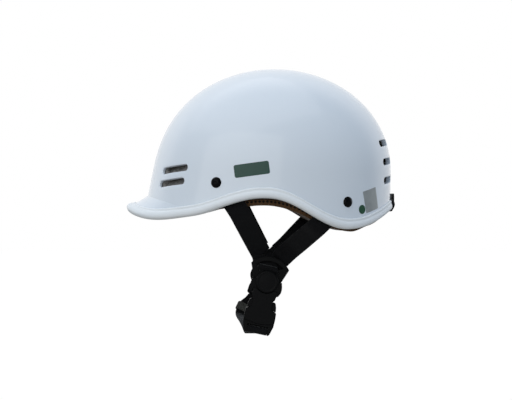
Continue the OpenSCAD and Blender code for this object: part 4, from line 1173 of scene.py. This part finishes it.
# %% [markdown]
# The weave is ribs across the strap, offset from warp to warp, with a plain edge. Two sine waves
# on the UV map, multiplied, give the crossings of the yarns.

# %% Webbing material
weave, w_in, w_out = new_group(
    "weave", [("Rib", "Float", 0.0011), ("Warp", "Float", 0.0014)], [("Height", "Float"), ("Fuzz", "Float")]
)
cloth = add_node(weave, "ShaderNodeUVMap", uv_map="cloth").outputs["UV"]
parts = add_node(weave, "ShaderNodeSeparateXYZ", {"Vector": cloth})
waves = [calc(weave, "MULTIPLY", calc(weave, "DIVIDE", parts.outputs[axis], w_in[pitch]), 2 * np.pi)
         for axis, pitch in (("X", "Warp"), ("Y", "Rib"))]
crossings = calc(weave, "MULTIPLY", calc(weave, "SINE", waves[0]), calc(weave, "SINE", calc(weave, "ADD", *waves)))
fuzz = add_node(weave, "ShaderNodeTexNoise", {"Vector": cloth}, Scale=2600, Detail=2)
weave.links.new(map_range(weave, crossings, 0, 1, From_Min=-1), w_out["Height"])
weave.links.new(fuzz.outputs["Fac"], w_out["Fuzz"])


def cloth_material(name, low, high, rib, warp, strength=0.5):
    """Woven or knitted cloth: dark between the yarns as painted shade, lighter on them, with a random tone from fine
    noise.
    """
    material, tree, shader = new_material(
        name, Roughness=0.85, Specular_IOR_Level=0.12, Sheen_Weight=0.12, Sheen_Roughness=0.4
    )
    yarn = use_group(tree, weave, Rib=rib, Warp=warp)
    set_colour(tree, shader, calc(tree, "MULTIPLY", yarn["Height"], yarn["Fuzz"]), low, high)
    set_bump(tree, shader, yarn["Height"], strength, 0.0003)
    return material


webbing_black = cloth_material("webbing_black", (0.0025, 0.0025, 0.003), (0.013, 0.0125, 0.0135), 0.0011, 0.0014)
thread_black = cloth_material("thread_black", (0.006, 0.006, 0.006), (0.03, 0.03, 0.03), 0.0006, 0.0006)

# %% Straps
for strap, rows in (("front", front_stations()), ("rear", rear_stations())):
    points, faces, uv = sweep_strap(rows)
    for side, turn_over in (("left", 1), ("right", MIRROR)):
        piece = make_piece(strap + "_web_" + side, points * turn_over, faces, uv=uv, sharp=60)
        finish_piece(piece, "helmet", webbing_black, [f"strap_{strap}_{side}"])

# %% [markdown]
# Box stitches hold the rear strap's end to the front strap's tail: a thread that zigzags across
# the web. It is a thin tube along a triangle wave.

# %% Stitches


def zigzag(start, across, ahead, out, width, rows, pitch=1.1):
    """A thread that crosses the web rows times, dipping into it at each turn."""
    t = np.linspace(0, rows, rows * 10 + 1)
    wave = 2 * np.abs((t % 2) - 1) - 1
    lift = 0.28 * np.sin(np.pi * (t % 1)) ** 0.5
    return start + across * (wave * width / 2)[:, None] + ahead * (t * pitch)[:, None] + out * lift[:, None]


tail_along = unit(REAR * 0.57 + UP * 0.82)
tail_across = unit(REAR * 0.82 - UP * 0.57)
tail_back = BEHIND_X - 2 * LAP - WEB_T / 2
tack_points, tack_faces = [], []
for where in (0.36, 0.74):
    start = harness(tail_back, 0.6 * RING_R * where, BAR_V + 0.85 * RING_R * where + 2)
    points, faces = tube(zigzag(start, tail_across, tail_along, -X, 14, 5), 0.3, sides=8)
    for turn_over in (1, MIRROR):
        first = sum(len(p) for p in tack_points)
        tack_faces += [[i + first for i in face] for face in faces]
        tack_points.append(points * turn_over)
tack_points = np.concatenate(tack_points)
tacks = make_piece("box_stitches", tack_points, tack_faces, uv=tack_points[:, :2])
finish_piece(tacks, "helmet", thread_black)

# %% [markdown]
# ## Chin strap
# The chin strap is sewn round the link plate's bar on the right, bows forward under the chin and
# turns round the clip's bar on the left. When the buckle opens, its left end goes with the clip;
# here it is attached to neither body.

# %% Chin strap
LINK_DROP, CLIP_BAR_V, CLIP_BAR, CLIP_BAR_DEEP = 28.6, -48.6, 3.2, 5.2
CHIN_RIGHT_Z, CHIN_MID_Z, CHIN_BOW = -152.4, -155, 23
LINK_MID_X = -SWIVEL[0] - (2 * COLLAR_X1 - COLLAR_T) / 2
CHIN_W, CHIN_W_BAR = WEB_W - 0.8, WEB_W + 0.5


def beside(rows):
    """Stations turned back beside themselves, below their faces."""
    return [(s[0] - unit(s[1]) * LAP, -s[1], *s[2:]) for s in rows[::-1]]


def chin_across(angle):
    """Direction across the strap: level and forward, turned up by an angle."""
    return np.array([0, -np.cos(np.radians(angle)), np.sin(np.radians(angle))])


def round_bar(centre, r, up, degrees):
    """Stations round a bar, each facing it, at a row of angles."""
    spokes = [X * np.cos(t) + up * np.sin(t) for t in np.radians(degrees)]
    return [(centre + r * spoke, -spoke, CHIN_W_BAR) for spoke in spokes]


def chin_stations():
    """Round the link's bar on the right, forward and under the chin, and round the clip's bar."""
    link_bar = np.array([LINK_MID_X, SWIVEL[1], SWIVEL[2]]) - LINK_UP * (LINK_DROP - COLLAR_T / 2)
    link_r = COLLAR_T / 2 + GAP + WEB_T / 2
    clip_mid = harness(0, 0, CLIP_BAR_V)
    clip_r = CLIP_BAR / 2 + GAP + WEB_T / 2
    aside = X * (CLIP_BAR_DEEP - CLIP_BAR) / 2
    front = SWIVEL[1] - CHIN_BOW
    ring_x = SWIVEL[0]
    start = link_bar + X * link_r - LINK_UP * 3
    bend = np.array([LINK_MID_X + 2.6, front + 2.8, CHIN_RIGHT_Z + 7.8])
    bends = [
        (start, (1, 0, 0), LINK_TILT),
        (bend, (1, 0, 0.3), LINK_TILT + 5),
        ((LINK_MID_X + 8.4, front - 1.2, CHIN_RIGHT_Z), (1, 0, 0.8), LINK_TILT + 7),
        ((-0.76 * ring_x, front - 1.3, CHIN_RIGHT_Z - 3.2), (0.5, 0, 1), LINK_TILT),
        ((-0.3 * ring_x, front + 1.3, CHIN_MID_Z + 0.2), (0.12, 0, 1), LINK_TILT - 10),
        ((0.15 * ring_x, front + 3.9, CHIN_MID_Z), (0.1, 0, 1), TILT),
        ((0.58 * ring_x, front + 7.4, CHIN_MID_Z - 2.3), (0.05, 0, 1), TILT),
    ]
    run = [(np.array(c), np.array(f), CHIN_W, chin_across(a)) for c, f, a in bends]
    low = np.array([0.85 * ring_x, SWIVEL[1] - CHIN_BOW * 0.56, clip_mid[2] - clip_r - 1])
    run += [(low, np.array([0, 0, 1]), CHIN_W), (clip_mid - aside - UP * clip_r, UP, CHIN_W_BAR)]
    tail = [(start + (bend - start) * t, X, CHIN_W, chin_across(LINK_TILT)) for t in (0.45, 0.8)]
    link_turn = round_bar(link_bar, link_r, LINK_UP, 180 - 30 * np.arange(7))
    clip_turn = round_bar(clip_mid + aside, clip_r, UP, -90 + 30 * np.arange(7))
    end = [(clip_mid - X * 1.6 + UP * (clip_r + 0.5), -X - UP, CHIN_W_BAR, -REAR),
           (clip_mid - X * (BUCKLE_T / 2 - 1.2) + UP * (clip_r + 2.4), -X, CHIN_W_BAR, -REAR)]
    return beside(tail) + [(link_bar - X * link_r - LINK_UP * 3, -X, CHIN_W)] + link_turn + run + clip_turn + end


chin_rows = chin_stations()
points, faces, uv = sweep_strap(chin_rows)
chin = make_piece("chin_web", points, faces, uv=uv, sharp=60)
finish_piece(chin, None, webbing_black, ["chin_strap"])
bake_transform(chin)

# %% [markdown]
# A short sleeve of grey elastic rides on the chin strap and holds its loose end. It is a knitted
# tube: the strap's section, a little larger, with rolled ends.

# %% Sleeve
SLEEVE_L, SLEEVE_WALL = 9.6, 1.3


def squared(wave, power):
    """A wave drawn towards -1 and 1: sign(w) |w|^power. A cosine and a sine give a boxy oval."""
    return np.sign(wave) * np.abs(wave) ** power


(a_end, _, _, a_across), (b_end, _, _, b_across) = chin_rows[11:13]
middle, along_run = (a_end + b_end) / 2, unit(b_end - a_end)
across_run = unit(np.cross(np.cross(along_run, a_across + b_across), along_run))
out_run = np.cross(along_run, across_run)
half_w, half_h = CHIN_W / 2 + GAP + SLEEVE_WALL / 2, WEB_T / 2 + GAP + SLEEVE_WALL / 2
loop = rounded_outline(2 * half_w, 2 * half_h, half_h * 0.95)
turn = np.radians(full_turn(28))
# The wall's own section: a flat oval, longer than thick, with a slight roll at both ends
wall_l = SLEEVE_L / 2 * squared(np.cos(turn), 0.35)
wall_t = SLEEVE_WALL / 2 * squared(np.sin(turn), 0.6) * (1 + 0.12 * np.abs(np.cos(turn)) ** 8)
away = unit(np.stack([loop[:, 0] / half_w**2, loop[:, 1] / half_h**2], 1))
across, out = ((loop[:, None] + away[:, None] * wall_t[:, None])[..., i] for i in range(2))
sleeve_points = from_frame((middle, across_run, out_run, along_run), across, out, wall_l)
loop_run = run_along(loop)
sleeve_uv = np.stack([wall_l + 0 * loop_run[:, None], loop_run[:, None] + 0 * wall_l], -1)
sleeve = make_piece("elastic_sleeve", sleeve_points, patch(numbered(sleeve_points), True, True), uv=sleeve_uv)
sleeve_grey = cloth_material("sleeve_grey", (0.03, 0.03, 0.026), (0.17, 0.165, 0.145), 0.0016, 0.0013, 0.7)
finish_piece(sleeve, "link", sleeve_grey, ["strap_keeper"])

# %% [markdown]
# ## Moulded plastic
# The rings, caps, buckle and link plate are moulded in black plastic with a fine spark-eroded
# grain. The rings are drawn here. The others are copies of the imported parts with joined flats, and
# the socket, clip and link plate are reshaped. A bevel rounds each edge, which is what makes a
# moulding catch the light.

# %% Plastic
harness_plastic = grainy(
    "harness_plastic", 2400, 90, bump=(0.22, 0.0002), rough=(0.38, 0.56),
    Base_Color=(0.003, 0.003, 0.0034, 1), Roughness=0.44, Specular_IOR_Level=0.12,
)

LINK_PLACE = SWIVEL * MIRROR
COLLAR_R, SHOULDER = 15.8, ([0, 29, 52.5, 70], [14.8, 17.7, 18.8, 15.8])


def square_shoulders(u, v):
    """Draws a collar's round outline in above the swivel, beside the strap's loop, and gives it
    squarer shoulders below, by a new radius for each angle below the level."""
    r, below = np.hypot(u, v), np.degrees(np.arctan2(-v, np.abs(u)))
    outline = np.abs(r - COLLAR_R) < 0.3
    new_r = np.where(below < -6, BAR_V - WRAP_R - WEB_T / 2, np.interp(below, *SHOULDER))
    grow = np.where(outline & (below < 70), new_r / np.maximum(r, 1), 1)
    return u * grow, v * grow


def fit_socket(points):
    """Gives the socket squarer shoulders."""
    u, v, x = to_frame(HARNESS, points)
    return from_frame(HARNESS, *square_shoulders(u, v), x)


def fit_link(points):
    """The link plate hangs a little further forward than the buckle, along the chin strap's pull."""
    u, v, x = to_frame((LINK_PLACE, REAR, UP, X), points)
    return from_frame((LINK_PLACE, np.cross(LINK_UP, X), LINK_UP, X), *square_shoulders(u, v), x)


def fit_clip(points):
    """Lifts the clip's bar by the strap's thickness, so the strap lies flush with the lower edge."""
    u, v, x = to_frame(HARNESS, points)
    bar = (np.abs(u) < WEB_W / 2 + GAP + 0.7) & (np.abs(x) < CLIP_BAR_DEEP / 2 + 0.1) & (v < -48)
    return points + np.where(bar, CLIP_BAR_V + 50, 0)[:, None] * UP


def circle(r, start, end, n):
    """Points on an arc about the swivel, from one angle in degrees to another."""
    t = np.radians(np.linspace(start, end, n))
    return np.stack([r * np.cos(t), r * np.sin(t)], 1).tolist()


def slab(loops, x0, x1):
    """A flat moulding in the swivel's frame: an outline and its holes as (u, v) loops, filled with
    triangles that are joined again, then drawn out from x0 to x1."""
    work = bmesh.new()
    edges = []
    for loop in loops:
        verts = [work.verts.new(Vector(harness(x0, u, v)) * MM) for u, v in loop]
        edges += [work.edges.new((verts[i - 1], verts[i])) for i in range(len(verts))]
    bmesh.ops.triangle_fill(work, use_beauty=True, edges=edges, normal=Vector(X))
    bmesh.ops.dissolve_limit(work, angle_limit=0.02, verts=work.verts, edges=work.edges)
    drawn = bmesh.ops.extrude_face_region(work, geom=work.faces[:])["geom"]
    drawn = [part for part in drawn if isinstance(part, bmesh.types.BMVert)]
    bmesh.ops.translate(work, vec=Vector(X) * (x1 - x0) * MM, verts=drawn)
    bmesh.ops.recalc_face_normals(work, faces=work.faces)
    return work


# The strap ring: an arch on two legs that stand on a round lug, with a bar across for the webbing
LUG_R, RING_BAR, RING_HALF_ANGLE, PIN_R = 13, 4.2, 52, 4
bar_low, bar_high = BAR_V - BAR_W / 2, BAR_V + BAR_W / 2
slot_low = BAR_V - WRAP_R
ring_loops = [
    circle(RING_R, 90 - RING_HALF_ANGLE, 90 + RING_HALF_ANGLE, 40) + circle(LUG_R, 184.4, 355.6, 40),
    circle(RING_R - RING_BAR, 48.6, 133.2, 32) + [(-12.2, bar_high), (9.4, bar_high)],
    [(-10.3, slot_low), (10, slot_low), (10, bar_low), (-10.3, bar_low)],
    circle(PIN_R, 0, 350, 36),
]
for side, turn_over in (("left", 1), ("right", -1)):
    work = slab(ring_loops, RING_MID - RING_T / 2, RING_MID + RING_T / 2)
    if turn_over < 0:
        bmesh.ops.scale(work, vec=(-1, 1, 1), verts=work.verts)
        bmesh.ops.reverse_faces(work, faces=work.faces)
    piece = piece_from(work, f"strap_ring_{side}_moulding", bevel=0.35)
    finish_piece(piece, "helmet", harness_plastic, [f"strap_ring_{side}"])

PLASTIC_BODY = {"pivot_cap_left": ("helmet", None), "pivot_cap_right": ("helmet", None),
                "buckle_socket": ("socket", fit_socket), "buckle_clip": ("clip", fit_clip),
                "link_plate": ("link", fit_link), "prong_front": ("prong_front", None),
                "prong_rear": ("prong_rear", None)}
for node, (body, reshape) in PLASTIC_BODY.items():
    piece = merged_copy(node + "_moulding", node, flatten=True, bevel=0.35, reshape=reshape)
    finish_piece(piece, body, harness_plastic, [node])

# %% [markdown]
# ## Rear keeper
# A rubber tab at the rear holds a goggle strap. It is one strip: glued inside the rim, folded
# under the trim and up behind it, where it snaps onto a stud. The fold is a living hinge; here the
# strip is attached to neither the helmet nor the flap.

# %% Keeper
KEEPER_W, KEEPER_T, KEEPER_CORNER, KEEPER_TOP, KEEPER_ROOT_H = 22, 1.6, 4, -20.5, 14
SNAP_Z, SNAP_D = -24.6, 8
TAIL_Z = EDGE[-1][1]


def rear_y(z):
    """Reach of the shell on the rear centre line."""
    return float(reach(180, z))


keeper_in = REBATE_IN + (KEEPER_W / 2) ** 2 / DOME_W
hinge = np.array([rear_y(TAIL_Z) + 1, TAIL_Z - TRIM_WALL - GAP - KEEPER_T / 2])
snap_y = rear_y(SNAP_Z) + FIT + 1.9 + GAP + KEEPER_T / 2
inside_y = rear_y(TAIL_Z) - keeper_in - KEEPER_T / 2
# From the fold the flap follows a cubic Bezier curve up to the snap
t = np.linspace(0, 1, 8)[:, None]
pulls = hinge + [3.0, 3.6], np.array([snap_y + 1.3, SNAP_Z - 7])
flap_end = np.array([snap_y, SNAP_Z - SNAP_D / 2 - 0.4])
flap = (1 - t) ** 3 * hinge + 3 * t * (1 - t) ** 2 * pulls[0] + 3 * t**2 * (1 - t) * pulls[1] + t**3 * flap_end
keeper_line = np.array([
    [rear_y(TAIL_Z + KEEPER_ROOT_H) - keeper_in - KEEPER_T / 2, TAIL_Z + KEEPER_ROOT_H],
    [inside_y, TAIL_Z - 1], [inside_y + KEEPER_T / 2 + 0.2, hinge[1] + 0.3], [rear_y(TAIL_Z) - 3, hinge[1]],
    *flap, [snap_y, SNAP_Z], [snap_y, KEEPER_TOP],
])
line = spline(keeper_line, np.linspace(0, len(keeper_line) - 1, 130))
ahead = unit(np.gradient(line, axis=0))
side = np.stack([-ahead[:, 1], ahead[:, 0]], 1)
run = run_along(line)
to_corner = np.clip(KEEPER_CORNER - np.minimum(run, run[-1] - run), 0, None)
half = KEEPER_W / 2 - np.where(to_corner > 0, KEEPER_CORNER - np.sqrt(KEEPER_CORNER**2 - to_corner**2), 0)
turn = np.radians(full_turn(40))
flat_x, flat_y = squared(np.cos(turn), 0.12), KEEPER_T / 2 * squared(np.sin(turn), 0.5)
keeper_y, keeper_z = line[:, :1] + side[:, :1] * flat_y, line[:, 1:] + side[:, 1:] * flat_y
keeper_points = np.stack([half[:, None] * flat_x, keeper_y, keeper_z], -1)
keeper = make_piece("goggle_keeper", keeper_points, capped(numbered(keeper_points)), sharp=60)
keeper_rubber = grainy("keeper_rubber", 1800, 150, bump=(0.3, 0.0003), Base_Color=(0.008, 0.008, 0.0085, 1),
                       Roughness=0.62, Specular_IOR_Level=0.25)
finish_piece(keeper, None, keeper_rubber, ["keeper_root", "keeper_flap"])
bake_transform(keeper)

cap_place = (np.array([0, snap_y + KEEPER_T / 2, SNAP_Z]), X, np.array([0, 0, 1.0]), np.array([0, 1.0, 0]))
r = SNAP_D / 2
cap_profile = [(0, 0.4), (0.8, 0.42), (1.3, 0.62), (r * 0.55, 0.8), (r - 0.7, 0.65), (r - 0.15, 0.4), (r, 0.15),
               (r, -0.05), (r * 0.5, -0.05), (0, -0.05)]
points, faces = turned(cap_profile, [cap_place], 40)
cap = make_piece("snap_cap", points, faces, sharp=50)
finish_piece(cap, "keeper", keeper_rubber, ["keeper_cap"])

# %% [markdown]
# ## Zinc-plated steel
# The load plates, washers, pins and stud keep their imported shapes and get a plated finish: bright
# metal whose roughness wanders with fine scratches.

# %% Zinc
zinc = grainy("zinc", 2000, 180, bump=(0.1, 0.0002), rough=(0.25, 0.5), Base_Color=(0.6, 0.61, 0.62, 1),
              Metallic=1.0, Roughness=0.35)
for node in ("rivet_plates", "rivet_washers", "swivel_pin_left", "swivel_pin_right", "keeper_stud"):
    mesh = NODES[node].data
    if mesh.materials:
        mesh.materials[0] = zinc
    else:
        mesh.materials.append(zinc)

# %% [markdown]
# ## Studio
# A pale room lights the helmet evenly, two large soft lamps, one above and one beside the camera,
# give it form, and the background is white to the camera.

# %% Studio
world = bpy.data.worlds.new("studio")
bpy.context.scene.world = world
world.use_nodes = True
tree = world.node_tree
backdrop = tree.nodes["Background"]
rays = add_node(tree, "ShaderNodeLightPath")
seen = calc(tree, "MAXIMUM", rays.outputs["Is Camera Ray"], rays.outputs["Is Transmission Ray"])
sky = add_node(tree, "ShaderNodeTexCoord").outputs["Generated"]
towards = add_node(tree, "ShaderNodeSeparateXYZ", {"Vector": sky})
near_side = map_range(tree, towards.outputs["X"], 0, 1, interpolation_type="SMOOTHSTEP", From_Min=-0.5, From_Max=0)
# What the gloss reflects, then what lights the pieces, then what the camera sees
colour = shade_between(tree, near_side, (1, 1, 1), (0.15, 0.18, 0.22))
for ray, plain in ((rays.outputs["Is Diffuse Ray"], (0.482, 0.57, 0.675, 1)), (seen, (1, 1, 1, 1))):
    room = add_node(tree, "ShaderNodeMix", {"Factor": ray}, data_type="RGBA")
    room.inputs["B"].default_value = plain
    tree.links.new(colour, room.inputs["A"])
    colour = room.outputs["Result"]
tree.links.new(colour, backdrop.inputs["Color"])

FLOOR_Z, FLOOR_HALF = -300 * MM, 4
floor_mesh = bpy.data.meshes.new("floor")
corners = [(x * FLOOR_HALF, y * FLOOR_HALF, FLOOR_Z) for x, y in ((-1, -1), (1, -1), (1, 1), (-1, 1))]
floor_mesh.from_pydata(corners, [], [(0, 1, 2, 3)])
floor = add_object("floor", floor_mesh)
floor_paint, tree, shader = new_material("floor_paint", Base_Color=(0.42, 0.39, 0.35, 1), Roughness=0.9)
rays = add_node(tree, "ShaderNodeLightPath")
glow = add_node(tree, "ShaderNodeEmission", Strength=1.06)
share = calc(tree, "MULTIPLY", rays.outputs["Is Camera Ray"], 0.93)
mix = add_node(tree, "ShaderNodeMixShader", {0: share, 1: shader.outputs["BSDF"], 2: glow.outputs["Emission"]})
tree.links.new(mix.outputs["Shader"], tree.nodes["Material Output"].inputs["Surface"])
floor_mesh.materials.append(floor_paint)


def soft_lamp(name, where, toward, size, power, colour=(1, 1, 1)):
    """A square area lamp at where, in metres, that faces toward."""
    data = bpy.data.lights.new(name, "AREA")
    data.size, data.energy, data.color = size, power, colour
    lamp = add_object(name, data)
    lamp.location = where
    lamp.rotation_euler = (Vector(toward) - Vector(where)).to_track_quat("-Z", "Y").to_euler()


soft_lamp("top_lamp", (0.3, -0.5, 2.0), (0, 0, 0), 3.0, 14, (1, 0.98, 0.94))
soft_lamp("side_lamp", (1.8, -0.9, 0.3), (0, 0, 0), 2.4, 16, (1, 0.97, 0.9))
bpy.context.scene.view_settings.view_transform = "Standard"
